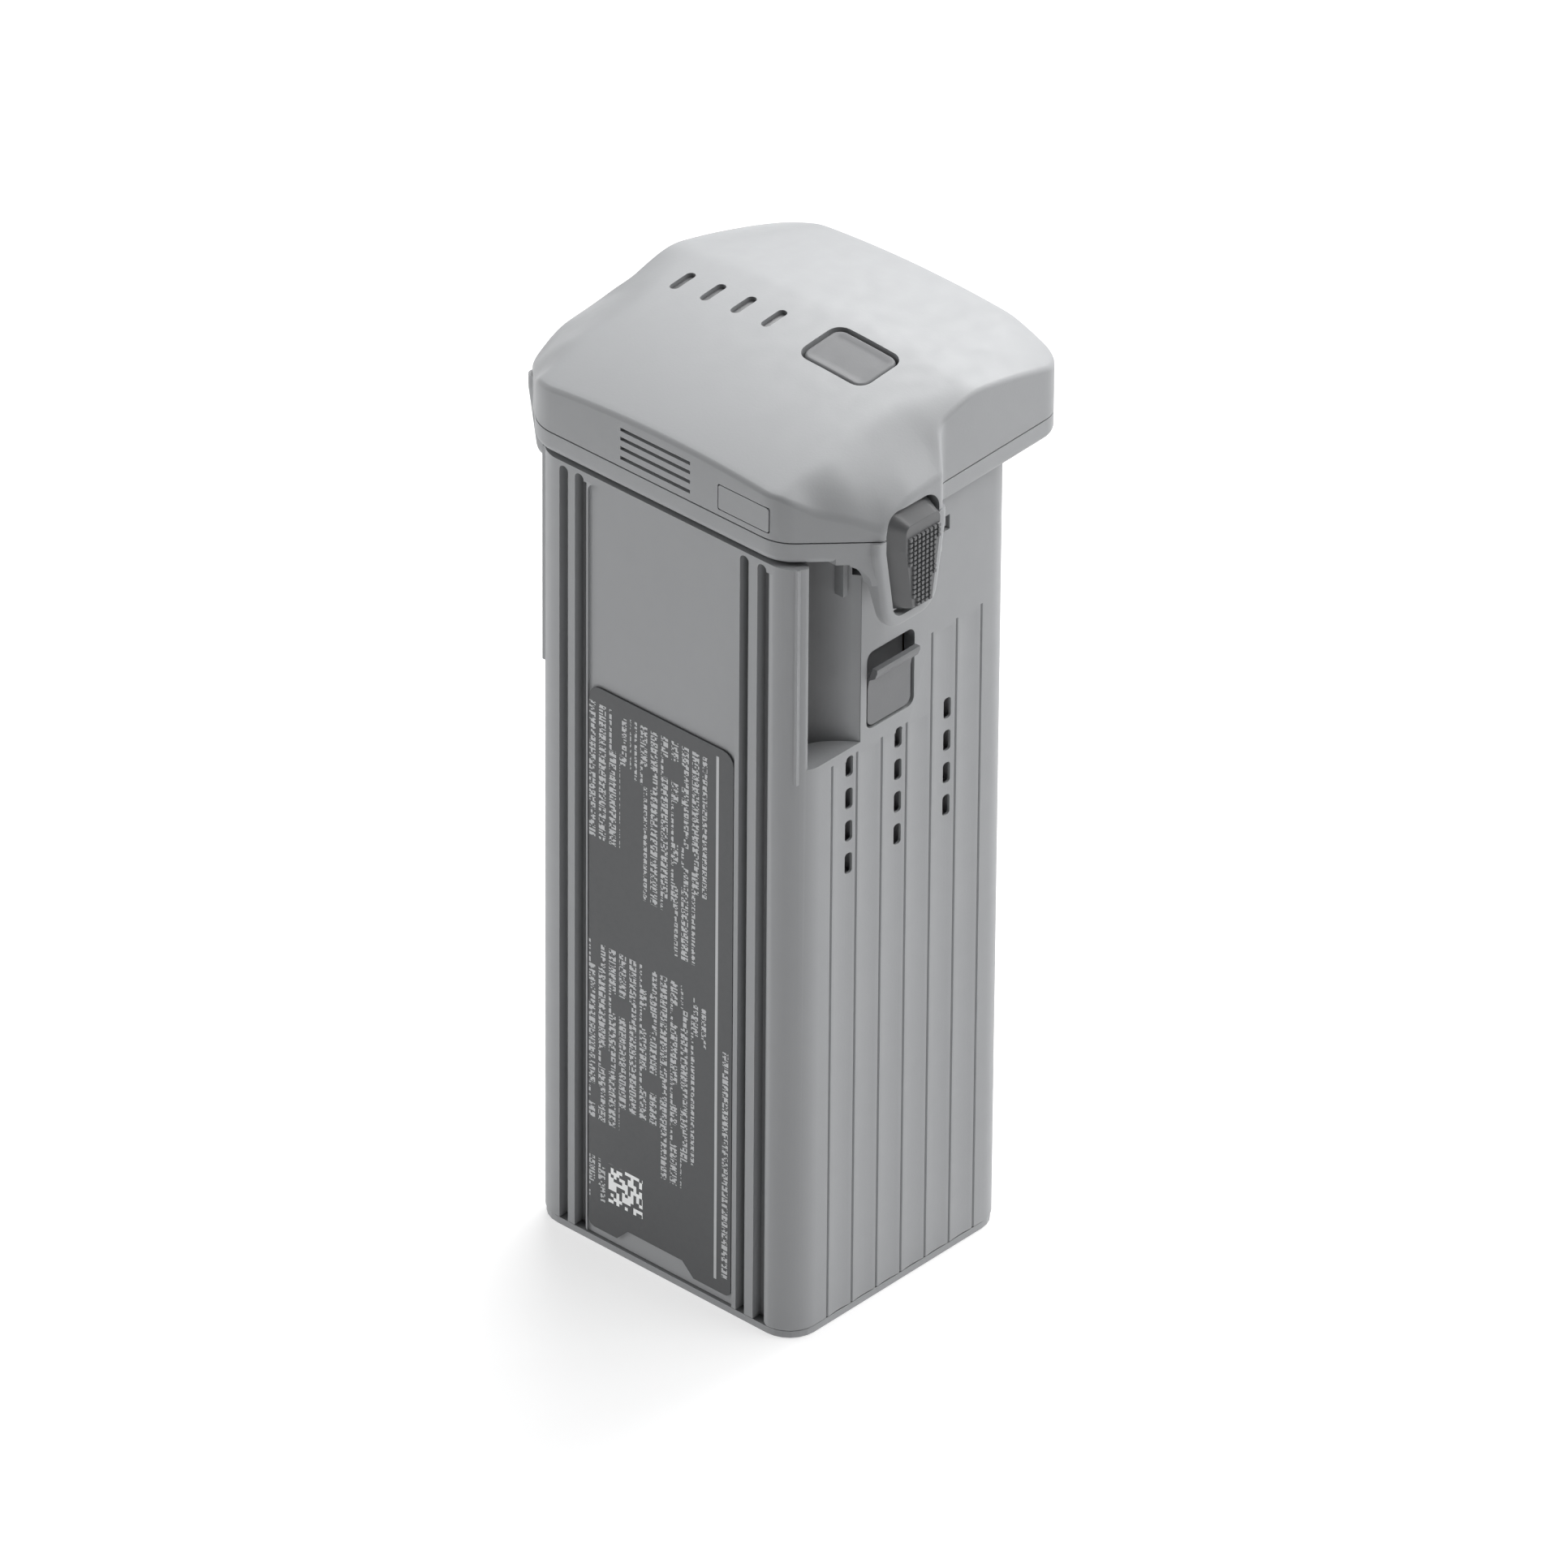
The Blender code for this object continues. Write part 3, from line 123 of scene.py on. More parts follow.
# Controls on the head
BUTTON_X, BUTTON_Y, BUTTON_W, BUTTON_D, BUTTON_R = 8.9, 4.4, 10.5, 7.4, 1.5
BUTTON_GAP, BUTTON_SUNK, BUTTON_ROUND, BUTTON_DISH, BUTTON_FOOT_Z = 0.45, 0.2, 0.4, 0.22, 129.7
FLANGE_BEYOND, FLANGE_Z, STEM_Z, STEM_R = 0.4, (129.2, 130.0), (128.9, 129.6), 1.6
LIGHT_X0, LIGHT_PITCH, LIGHT_Y, LIGHT_W, LIGHT_L, LIGHT_COUNT = -19.75, 5.26, 4.25, 1.2, 4.0, 4
LIGHT_GAP, LENS_SUNK, LENS_ROUND, LENS_FOOT_Z = 0.12, 0.5, 0.15, 127.3
SERVICE_X, SERVICE_Z = (9.4, 18.2), (121.9, 125.7)
BAND_LINES_X, BAND_LINES_Z = (-7.3, 4.7), (122.4, 123.85, 125.25, 126.6)
BAND_LINE_HALF_W, BAND_CUT_Y = 0.25, (HEAD_FRONT - 1, HEAD_FRONT + 0.9)

# Rating label: a rule, a title, a code square, and blocks of small print, in x and z
LABEL_RULE, LABEL_TITLE = ((9.15, 9.6), (4.2, 84.6)), ((10.5, 11.5), (5.0, 40.0))
LABEL_CODE, LABEL_CODE_CELL = ((-9.4, -3.4), (7.5, 13.5)), 0.5
LABEL_LINE_PITCH, LABEL_LINE_W = 1.8, 1.2
LABEL_BLOCKS = (
    ((-12.9, -7.5), (63.0, 83.5)),
    ((-7.5, -5.6), (76.0, 83.5)),
    ((-5.0, -3.4), (74.5, 83.5)),
    ((-3.4, 2.0), (57.0, 83.5)),
    ((2.0, 5.6), (51.0, 83.5)),
    ((5.6, 7.6), (62.0, 83.5)),
    ((-12.9, -7.5), (19.5, 47.0)),
    ((-7.5, -0.2), (23.0, 47.0)),
    ((-0.2, 3.4), (15.5, 47.0)),
    ((3.4, 5.6), (20.0, 46.0)),
    ((5.6, 7.6), (39.0, 45.0)),
    ((-12.8, -9.7), (7.0, 13.5)),
)
LABEL_MARK, LABEL_LETTER, LABEL_WORD, LABEL_START_X = (0.3, 0.22), 0.92, 3.1, 13.0

# Painted shade on the case, in its guide recesses and grooves
# painted shade: where the guide recesses and grooves are darkened, how far, and the dark tone they go to
PAINTED_SHADE_GUIDE_Y, PAINTED_SHADE_GUIDE_X, PAINTED_SHADE_GUIDE = (-17.85, -8.7), (18.6, 22.0), 0.85
PAINTED_SHADE_GROOVES_X, PAINTED_SHADE_GROOVE, PAINTED_SHADE_TONE = (0.0, 17.4), 0.5, 0.15

# Bevels on the CAD nodes that show
SOFTENED = {"bottom_cap": 0.3, "service_plate": 0.1, "rating_label": 0.06, "connector_housing": 0.2}

# Studio
VIEW_AZIMUTH, VIEW_ELEVATION, VIEW_ROLL = 42.244, 33.094, 0.441
VIEW_SHIFT, VIEW_DISTANCE, VIEW_LENS, VIEW_SENSOR = (2.04, 55.73), 2446.4, 431.15, 36.0
FLOOR_SIZE, FLOOR_DROP, FLOOR_GLOW = 3.0, 0.0002, 0.62
WORLD_BRIGHT, WORLD_DIM, WORLD_DIM_SIDE, WORLD_FADE = 0.3, 0.02, (0.68, -0.72, 0.12), (0.1, 0.95)
LIGHTS_AIM = (0.0, 0.0, 0.1)
LIGHTS = {
    "softbox_back": ((-0.25, 0.75, 0.85), (1.0, 0.8), 19.0),
    "softbox_right": ((0.55, 0.95, 0.45), (0.32, 0.4), 3.2),
    "softbox_top": ((0.55, 0.25, 0.95), (0.5, 0.5), 5.0),
    "softbox_left": ((-0.95, -0.5, 0.35), (0.6, 0.6), 5.0),
}

TOOLS = bpy.data.collections.new("cutters")
bpy.context.scene.collection.children.link(TOOLS)


# ---- meshes
def object_from_bmesh(name, bm):
    bmesh.ops.recalc_face_normals(bm, faces=bm.faces[:])
    mesh = bpy.data.meshes.new(name)
    bm.to_mesh(mesh)
    bm.free()
    return bpy.data.objects.new(name, mesh)


def rounded_polygon(corners, inset=0.0, arc_steps=8, longest=1000.0):
    """Points round a polygon of (x, y, radius) corners, counter-clockwise, moved inwards by inset."""
    count = len(corners)
    spots = [Vector(c[:2]) for c in corners]
    runs = [(spots[(i + 1) % count] - spots[i]).normalized() for i in range(count)]
    points, sides = [], []
    for i, (spot, corner) in enumerate(zip(spots, corners)):
        before, after = runs[i - 1], runs[i]
        left = Vector((-before.y, before.x)) + Vector((-after.y, after.x))
        moved = spot + left * inset / (1 + before.dot(after))
        turn = before.cross(after)
        radius = max(corner[2] - inset, 0.05) if turn > 0 else corner[2] + inset
        if corner[2] == 0 or abs(turn) < 1e-6:
            arc = [moved]
        else:
            arc = fillet(moved, before, after, radius, arc_steps)
        points.append(arc)
        sides.append(max(int(math.ceil((spots[(i + 1) % count] - spot).length / longest)), 1))
    found = []
    for i, arc in enumerate(points):
        there = points[(i + 1) % count][0]
        found.extend(arc)
        found.extend(arc[-1].lerp(there, k / sides[i]) for k in range(1, sides[i]))
    return [(p.x, p.y) for p in found]


def fillet(corner, before, after, radius, steps):
    angle = math.atan2(before.cross(after), before.dot(after))
    reach = radius * math.tan(abs(angle) / 2)
    start = corner - before * reach
    centre = start + Vector((-before.y, before.x)) * radius * math.copysign(1.0, angle)
    spoke = start - centre
    return [centre + Matrix.Rotation(angle * k / steps, 2) @ spoke for k in range(steps + 1)]


def rectangle(x0, x1, y0, y1, radius=0.0, arc_steps=6, longest=1000.0):
    corners = [(x0, y0, radius), (x1, y0, radius), (x1, y1, radius), (x0, y1, radius)]
    return rounded_polygon(corners, arc_steps=arc_steps, longest=longest)


AXES = {
    "Z": Matrix.Identity(4),
    "Y": Matrix.Rotation(math.radians(90), 4, "X"),
    "X": Matrix(((0, 0, 1, 0), (1, 0, 0, 0), (0, 1, 0, 0), (0, 0, 0, 1))),
}


def plate(name, loops, low, high, axis="Z"):
    """Flat loops given thickness along an axis; (x, y) for Z, (x, z) for Y and (y, z) for X."""
    curve = bpy.data.curves.new(name, "CURVE")
    curve.dimensions = "2D"
    curve.fill_mode = "BOTH"
    curve.extrude = (high - low) / 2
    for loop in loops:
        spline = curve.splines.new("POLY")
        spline.points.add(len(loop) - 1)
        for point, (u, v) in zip(spline.points, loop):
            point.co = (u, v, 0, 1)
        spline.use_cyclic_u = True
    helper = bpy.data.objects.new(name, curve)
    bpy.context.scene.collection.objects.link(helper)
    graph = bpy.context.evaluated_depsgraph_get()
    mesh = bpy.data.meshes.new_from_object(helper.evaluated_get(graph))
    bpy.data.objects.remove(helper, do_unlink=True)
    bm = bmesh.new()
    bm.from_mesh(mesh)
    bpy.data.meshes.remove(mesh)
    bmesh.ops.remove_doubles(bm, verts=bm.verts[:], dist=0.001)
    bmesh.ops.dissolve_limit(bm, angle_limit=0.002, verts=bm.verts[:], edges=bm.edges[:])
    along = (low + high) / 2 * (-1 if axis == "Y" else 1)
    place = Matrix.Scale(MM, 4) @ AXES[axis] @ Matrix.Translation((0, 0, along))
    bmesh.ops.transform(bm, matrix=place, verts=bm.verts[:])
    return object_from_bmesh(name, bm)


def block(name, x, y, z):
    bm = bmesh.new()
    bmesh.ops.create_cube(bm, size=MM)
    bmesh.ops.scale(bm, vec=(x[1] - x[0], y[1] - y[0], z[1] - z[0]), verts=bm.verts[:])
    middle = Vector((x[0] + x[1], y[0] + y[1], z[0] + z[1])) * MM / 2
    bmesh.ops.translate(bm, vec=middle, verts=bm.verts[:])
    return object_from_bmesh(name, bm)


def rod(name, x, y, z0, z1, radius, segments=32):
    circle = [
        (x + radius * math.cos(2 * math.pi * k / segments), y + radius * math.sin(2 * math.pi * k / segments))
        for k in range(segments)
    ]
    return plate(name, [circle], z0, z1)


def lofted(name, rings, first_centre=None, last_centre=None):
    """A closed skin through rings of equal length; each end gets a fan, or one flat face."""
    bm = bmesh.new()
    rows = [[bm.verts.new(Vector(p) * MM) for p in ring] for ring in rings]
    for row, following in zip(rows, rows[1:]):
        for k in range(len(row)):
            nxt = (k + 1) % len(row)
            bm.faces.new((row[k], row[nxt], following[nxt], following[k]))
    for row, centre in ((rows[0], first_centre), (rows[-1], last_centre)):
        if centre is None:
            bm.faces.new(row)
            continue
        tip = bm.verts.new(Vector(centre) * MM)
        for k in range(len(row)):
            bm.faces.new((row[k], row[(k + 1) % len(row)], tip))
    return object_from_bmesh(name, bm)


def carve(target, operation, tools):
    """One exact Boolean of the target with all the tools."""
    group = bpy.data.collections.new(f"{target.name}_{operation.lower()}")
    TOOLS.children.link(group)
    for tool in tools:
        group.objects.link(tool)
        tool.hide_render = True
    if target.name not in bpy.context.scene.collection.objects:
        bpy.context.scene.collection.objects.link(target)
    modifier = target.modifiers.new(operation.lower(), "BOOLEAN")
    modifier.operation = operation
    modifier.solver = "EXACT"
    modifier.operand_type = "COLLECTION"
    modifier.collection = group
    apply_modifiers(target)
    for tool in tools:
        bpy.data.objects.remove(tool, do_unlink=True)
    bpy.data.collections.remove(group)
    return target


def apply_modifiers(obj):
    bpy.context.view_layer.update()
    graph = bpy.context.evaluated_depsgraph_get()
    mesh = bpy.data.meshes.new_from_object(obj.evaluated_get(graph))
    obj.modifiers.clear()
    obj.data = mesh


def soften(obj, width, angle=35.0, segments=2):
    """Rounds the sharp edges and shades the rest smooth."""
    obj.data.shade_smooth()
    bevel = obj.modifiers.new("soften", "BEVEL")
    bevel.width = width * MM
    bevel.segments = segments
    bevel.limit_method = "ANGLE"
    bevel.angle_limit = math.radians(angle)
    bevel.harden_normals = True
    bevel.miter_outer = "MITER_ARC"
    return obj


def clean(obj, flat=0.3):
    """Merges what a Boolean left behind: doubled points and needless edges in flat faces."""
    bm = bmesh.new()
    bm.from_mesh(obj.data)
    bmesh.ops.remove_doubles(bm, verts=bm.verts[:], dist=0.004 * MM)
    bmesh.ops.dissolve_degenerate(bm, dist=0.003 * MM, edges=bm.edges[:])
    if flat:
        bmesh.ops.dissolve_limit(bm, angle_limit=math.radians(flat), verts=bm.verts[:], edges=bm.edges[:])
    bm.to_mesh(obj.data)
    bm.free()


def piece(obj, body, material, slot, *stands_for):
    """A finished piece: it rides on its body, has its material, and stands for its CAD nodes."""
    if obj.name not in bpy.context.scene.collection.objects:
        bpy.context.scene.collection.objects.link(obj)
    obj.data.materials.clear()
    obj.data.materials.append(material)
    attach(obj, body)
    if stands_for:
        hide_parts(*stands_for)
    return obj


# ---- materials
class Shade:
    """A node material that is built up from its Principled shader."""

    def __init__(self, name, **settings):
        self.material = bpy.data.materials.new(name)
        self.material.use_nodes = True
        self.nodes = self.material.node_tree.nodes
        self.links = self.material.node_tree.links
        self.shader = self.nodes["Principled BSDF"]
        for key, value in settings.items():
            self.shader.inputs[key.replace("_", " ").title().replace("Ior", "IOR")].default_value = value

    def node(self, kind, *wires, **settings):
        made = self.nodes.new(kind)
        for key, value in settings.items():
            setattr(made, key, value)
        for key, value in wires:
            if hasattr(value, "node"):
                self.links.new(value, made.inputs[key])
            else:
                made.inputs[key].default_value = value
        return made

    def math(self, operation, *values):
        return self.node("ShaderNodeMath", *enumerate(values), operation=operation).outputs[0]

    def place(self, stretch=(1.0, 1.0, 1.0)):
        """Where a point is on its piece, in millimetres."""
        spot = self.node("ShaderNodeTexCoord").outputs["Object"]
        scale = tuple(s / MM for s in stretch)
        return self.node("ShaderNodeMapping", ("Vector", spot), ("Scale", scale)).outputs[0]

    def split(self):
        return self.node("ShaderNodeSeparateXYZ", (0, self.place())).outputs

    def noise(self, scale, detail=2.0, stretch=(1.0, 1.0, 1.0), roughness=0.5):
        """Noise whose features are about 1 / scale millimetres."""
        keys = ("Vector", "Scale", "Detail", "Roughness")
        values = (self.place(stretch), scale, detail, roughness)
        return self.node("ShaderNodeTexNoise", *zip(keys, values)).outputs["Fac"]

    def between(self, value, low, high, low_to, high_to):
        """The value's place between low and high, moved to between low_to and high_to."""
        keys = ("Value", "From Min", "From Max", "To Min", "To Max")
        return self.node("ShaderNodeMapRange", *zip(keys, (value, low, high, low_to, high_to))).outputs[0]

    def times(self, first, *others):
        for other in others:
            first = self.math("MULTIPLY", first, other)
        return first

    def inside(self, value, span, edge=0.03):
        """1 where a coordinate lies in a span, fading over a thin edge."""
        rise = self.between(value, span[0] - edge, span[0] + edge, 0.0, 1.0)
        return self.times(rise, self.between(value, span[1] - edge, span[1] + edge, 1.0, 0.0))

    def mix(self, factor, first, second):
        wires = ((0, factor), (6, first), (7, second))
        return self.node("ShaderNodeMix", *wires, data_type="RGBA").outputs[2]

    def colour(self, source):
        self.links.new(source, self.shader.inputs["Base Color"])
        return self

    def rough(self, source):
        self.links.new(source, self.shader.inputs["Roughness"])
        return self

    def bump(self, source, height):
        """Relief of so many millimetres."""
        made = self.node("ShaderNodeBump", ("Height", source), ("Distance", height * MM), ("Strength", 1.0))
        self.links.new(made.outputs[0], self.shader.inputs["Normal"])
        return self


def rgba(colour, scale=1.0):
    return (*(c * scale for c in colour), 1.0)


def moulded(name, colour, roughness, grain=3.2, depth=0.01, mottle=0.02, painted_shade=None, **settings):
    """Moulded plastic: spark-eroded grain, a faint cloudiness, uneven gloss, and painted shade in its hollows
    where a mask for it is given.
    """
    shade = Shade(name, roughness=roughness, **settings)
    cloud = shade.noise(0.05, 3.0)
    speck = shade.noise(grain * 1.6, 1.0)
    wander = shade.math("MULTIPLY_ADD", speck, 0.25, cloud)
    cloudy = shade.between(wander, 0.35, 0.95, 0, 1)
    plain = shade.mix(cloudy, rgba(colour, 1 - mottle), rgba(colour, 1 + mottle))
    # painted shade: the mask darkens the colour in the hollows towards a darker copy of it
    shade.colour(shade.mix(painted_shade(shade), plain, rgba(colour, PAINTED_SHADE_TONE)) if painted_shade else plain)
    shade.rough(shade.between(shade.noise(0.4, 3.0), 0.3, 0.7, roughness - 0.04, roughness + 0.05))
    shade.bump(shade.noise(grain, 2.0, roughness=0.6), depth)
    return shade.material


def case_painted_shade(shade):
    """Painted shade on the case: its guide recesses and grooves are darkened by position, standing in for the
    shade that falls there.
    """
    x, y, z = shade.split()
    x = shade.math("ABSOLUTE", x)
    in_guide = shade.times(shade.inside(y, PAINTED_SHADE_GUIDE_Y, 0.15), shade.inside(z, (GUIDE_Z0, BODY_Z1)))
    guide = shade.times(in_guide, shade.between(x, *PAINTED_SHADE_GUIDE_X, PAINTED_SHADE_GUIDE, 0.0))
    out, floor = shade.math("ABSOLUTE", y), BODY_D / 2 - GROOVE_DEPTH
    low = shade.between(out, floor, BODY_D / 2 - PANEL_DEPTH - 0.1, PAINTED_SHADE_GROOVE, 0.0)
    on_face = shade.math("GREATER_THAN", out, floor - 0.1)
    at_grooves = shade.times(shade.inside(x, PAINTED_SHADE_GROOVES_X), shade.inside(z, (0.0, BODY_Z1)))
    return shade.math("MAXIMUM", guide, shade.times(low, on_face, at_grooves))


def rubbed(name, colour, roughness, stretch, metallic=1.0, depth=0.006):
    """Drawn, rolled or brushed metal, with fine lines along its length."""
    shade = Shade(name, metallic=metallic, roughness=roughness)
    lines = shade.noise(2.5, 3.0, stretch)
    shade.colour(shade.mix(lines, rgba(colour, 0.88), rgba(colour, 1.1)))
    shade.rough(shade.between(lines, 0.3, 0.7, roughness - 0.07, roughness + 0.1))
    shade.bump(lines, depth)
    return shade.material


def foam_material():
    """Open-cell foam."""
    shade = Shade("foam_cells", roughness=0.95)
    foam = shade.node("ShaderNodeTexVoronoi", ("Vector", shade.place()), ("Scale", 2.2))
    cells = foam.outputs["Distance"]
    shade.colour(shade.mix(cells, rgba((0.03, 0.03, 0.034)), rgba((0.07, 0.07, 0.076))))
    return shade.bump(cells, 0.12).material


def board_material():
    """Solder mask over copper tracks that run on a square grid."""
    shade = Shade("solder_mask", roughness=0.35, coat_weight=0.3)
    bricks = shade.node(
        "ShaderNodeTexBrick",
        ("Vector", shade.place()),
        ("Scale", 0.9),
        ("Mortar Size", 0.05),
        ("Color1", rgba((0.012, 0.085, 0.04))),
        ("Color2", rgba((0.018, 0.11, 0.05))),
        ("Mortar", rgba((0.03, 0.16, 0.08))),
    )
    shade.colour(bricks.outputs["Color"])
    return shade.bump(bricks.outputs["Fac"], 0.03).material


def pouch_material():
    """Laminate film over a cell: satin, with soft pressed wrinkles."""
    shade = Shade("pouch_film", metallic=0.75, roughness=0.32)
    wrinkle = shade.noise(0.22, 4.0, (1.0, 1.0, 0.4))
    shade.colour(shade.mix(wrinkle, rgba((0.2, 0.21, 0.22)), rgba((0.3, 0.31, 0.325))))
    return shade.bump(wrinkle, 0.25).material


def label_material():
    """Satin film with pale print: unreadable marks in columns, a rule, and a square of random cells."""
    shade = Shade("printed_film", specular_ior_level=0.45)
    x, _, z = shade.split()

    def random_cells(cell_x, cell_z, seed):
        cells = shade.node(
            "ShaderNodeCombineXYZ",
            (0, shade.math("FLOOR", shade.math("DIVIDE", x, cell_x))),
            (1, shade.math("FLOOR", shade.math("DIVIDE", z, cell_z))),
            (2, seed),
        )
        return shade.node("ShaderNodeTexWhiteNoise", (0, cells.outputs[0])).outputs["Value"]

    def area(spans):
        return shade.times(shade.inside(x, spans[0]), shade.inside(z, spans[1]))

    line = shade.math("FRACT", shade.math("DIVIDE", shade.math("ADD", x, LABEL_START_X), LABEL_LINE_PITCH))
    on_line = shade.math("LESS_THAN", line, LABEL_LINE_W / LABEL_LINE_PITCH)
    strokes = shade.math("GREATER_THAN", random_cells(*LABEL_MARK, 1.0), 0.36)
    gaps = shade.math("GREATER_THAN", shade.math("FRACT", shade.math("DIVIDE", z, LABEL_LETTER)), 0.2)
    words = shade.math("GREATER_THAN", random_cells(LABEL_LINE_PITCH, LABEL_WORD, 2.0), 0.13)
    blocks = area(LABEL_BLOCKS[0])
    for spans in LABEL_BLOCKS[1:]:
        blocks = shade.math("MAXIMUM", blocks, area(spans))
    letters = shade.times(strokes, gaps)
    text = shade.times(blocks, on_line, letters, words)
    title = shade.times(area(LABEL_TITLE), letters)
    cells = shade.math("GREATER_THAN", random_cells(LABEL_CODE_CELL, LABEL_CODE_CELL, 3.0), 0.45)
    code = shade.times(area(LABEL_CODE), cells)
    film = shade.mix(shade.noise(0.06, 3.0), rgba((0.062, 0.064, 0.067)), rgba((0.074, 0.077, 0.080)))
    marks = shade.math("MAXIMUM", shade.math("MAXIMUM", text, title), area(LABEL_RULE))
    print_mask = shade.times(marks, 0.75)
    printed = shade.mix(print_mask, film, rgba((0.62, 0.63, 0.64)))
    shade.colour(shade.mix(code, printed, rgba((0.86, 0.87, 0.87))))
    shade.rough(shade.between(shade.noise(1.5, 2.0), 0.3, 0.7, 0.42, 0.5))
    return shade.bump(shade.noise(2.0, 2.0), 0.004).material


GREY, DARK = (0.30, 0.306, 0.314), (0.09, 0.092, 0.095)
MATERIALS = {
    # the case plastic darkens its guide recesses and grooves as painted shade
    "case_grey": moulded("case_plastic", GREY, 0.52, painted_shade=case_painted_shade, specular_ior_level=0.45),
    "case_dark": moulded("latch_plastic", DARK, 0.38, grain=2.6, specular_ior_level=0.6),
    "label_film": label_material(),
    "light_pipe": moulded("light_pipe_plastic", DARK, 0.3, grain=1.5, depth=0.004),
    "cell_film": pouch_material(),
    "foam": foam_material(),
    "circuit_board": board_material(),
    "black_plastic": moulded("black_plastic", (0.022, 0.022, 0.024), 0.48, grain=2.6, depth=0.02),
    "nickel": rubbed("nickel_plate", (0.66, 0.64, 0.60), 0.3, (0.3, 2.0, 0.3)),
    "contact_brass": rubbed("gold_plate", (0.72, 0.52, 0.22), 0.25, (2.0, 2.0, 0.3)),
    "spring_steel": rubbed("spring_wire", (0.45, 0.45, 0.46), 0.3, (3.0, 3.0, 3.0)),
    "screw_steel": rubbed("blackened_steel", (0.16, 0.16, 0.165), 0.36, (2.0, 2.0, 0.4)),
    "red_silicone": moulded("red_silicone", (0.42, 0.02, 0.02), 0.55, grain=2.0, depth=0.01),
    "black_silicone": moulded("black_silicone", (0.018, 0.018, 0.018), 0.55, grain=2.0, depth=0.01),
    "ribbon_film": rubbed("ribbon_film", (0.22, 0.11, 0.035), 0.38, (0.2, 3.0, 0.2), metallic=0.0),
    "led_resin": moulded("led_resin", (0.8, 0.8, 0.72), 0.25, grain=1.2, depth=0.004),
    "white_plastic": moulded("white_plastic", (0.72, 0.71, 0.67), 0.45, grain=2.6, depth=0.01),
}

BUTTON_PLASTIC = moulded("button_plastic", (0.17, 0.173, 0.178), 0.6, specular_ior_level=0.3)
LATCH_GREY = moulded("latch_grey_plastic", (0.15, 0.153, 0.158), 0.5)


# ---- shared outlines
def both_sides():
    return (("left", -1), ("right", 1))


def span(side, near, far):
    return tuple(sorted((side * near, side * far)))


def case_outline(inset=0.0, arc_steps=14):
    x, y = BODY_W / 2 - inset, BODY_D / 2 - inset
    return rectangle(-x, x, -y, y, max(BODY_R - inset, 0.5), arc_steps)


def head_outline(inset=0.0, arc_steps=10, longest=0.9):
    halves = {
        side: [
            (20.7, HEAD_FRONT, 6.0),
            (LATCH_FACE, HEAD_FRONT + LATCH_FACE - 20.7, 1.5),
            (LATCH_FACE, LATCH_Y + 5.6, 1.5),
            (cheek, LATCH_Y + 9.4, 3.0),
            (cheek_back, HEAD_BACK, 4.0),
        ]
        for side, (cheek, cheek_back) in CHEEKS_X.items()
    }
    corners = halves["right"] + [(-x, y, r) for x, y, r in reversed(halves["left"])]
    return [(x + HEAD_X, y) for x, y in rounded_polygon(corners, inset, arc_steps, longest)]


def shield_corners(above=0.0, beside=0.0, below=0.0):
    """The latch opening in (y, z), with its margins."""
    right = [
        (OPENING_TIP_HALF_W + beside * 0.8, OPENING_BOTTOM - below, 1.8 + beside),
        (OPENING_HALF_W + beside, 119.0, 4.0),
        (OPENING_HALF_W + beside, OPENING_TOP + above, 2.8 + above),
    ]
    both = right + [(-y, z, r) for y, z, r in reversed(right)]
    return [(y + LATCH_Y, z, r) for y, z, r in both]


def shield_loft(name, corners, steps):
    """A skin through shield outlines at (x, inset) steps."""
    rings = []
    for x, inset in steps:
        rings.append([(x, y, z) for y, z in rounded_polygon(corners, inset, 8, 0.8)])
    return lofted(name, rings)


# ---- head surface
def sharp_top(x, y):
    """The head's height before its creases are softened, for arrays of points."""
    run = np.minimum(y, RIDGE_Y) - HEAD_FRONT
    back = np.maximum(y - RIDGE_Y, 0)
    height = FRONT_Z + FRONT_RISE * run - FRONT_BEND * run**2 - BACK_FALL * back - BACK_BEND * back**2
    crease = np.interp(y, SIDE_Y, SIDE_CREASE)
    aside = np.maximum(np.abs(x - HEAD_X) - crease, 0) / (LATCH_FACE - crease)
    fall = np.interp(y, SIDE_Y, SIDE_DROP) * aside ** np.interp(y, SIDE_Y, SIDE_POWER)
    return height - x * x / (2 * CROWN_R) - fall


def head_top(x, y):
    """The head's height with softened creases: a mean of the sharp surface round each point."""
    x, y = np.asarray(x, float), np.asarray(y, float)
    steps = np.linspace(-1, 1, 5)
    weights = np.exp(-1.5 * steps**2)
    total = 0.0
    for u, wu in zip(steps, weights):
        for v, wv in zip(steps, weights):
            total = total + wu * wv * sharp_top(x + u * SOFTEN, y + v * SOFTEN)
    return total / weights.sum() ** 2


def on_top(points, below=0.0):
    """Plan points lifted on to the head's surface."""
    xs, ys = np.array(points).T
    return [(x, y, z - below) for x, y, z in zip(xs, ys, head_top(xs, ys))]


def quarter_turn(radius, steps):
    """(inset, offset) pairs of a rounded edge, from the face out to the wall."""
    turns = [math.pi / 2 * k / steps for k in range(steps + 1)]
    return [(radius * (1 - math.sin(t)), radius * (1 - math.cos(t))) for t in turns]


def cover_rings(inset, roof, floor_z, radius, shares, steps):
    """Rings over the head from its middle out, round its edge and down to the seam, and the middle point."""
    rim = head_outline(inset + radius)
    cx, cy = HEAD_X, COVER_MIDDLE_Y
    rings = []
    for share in shares:
        rings.append(on_top([(cx + (x - cx) * share, cy + (y - cy) * share) for x, y in rim], roof))
    for back, drop in quarter_turn(radius, steps):
        ring = on_top(head_outline(inset + back), roof + drop)
        rings.append([(x, y, max(z, floor_z + 0.2)) for x, y, z in ring])
    rings.append([(x, y, floor_z) for x, y in head_outline(inset)])
    return rings, on_top([(cx, cy)], roof)[0]


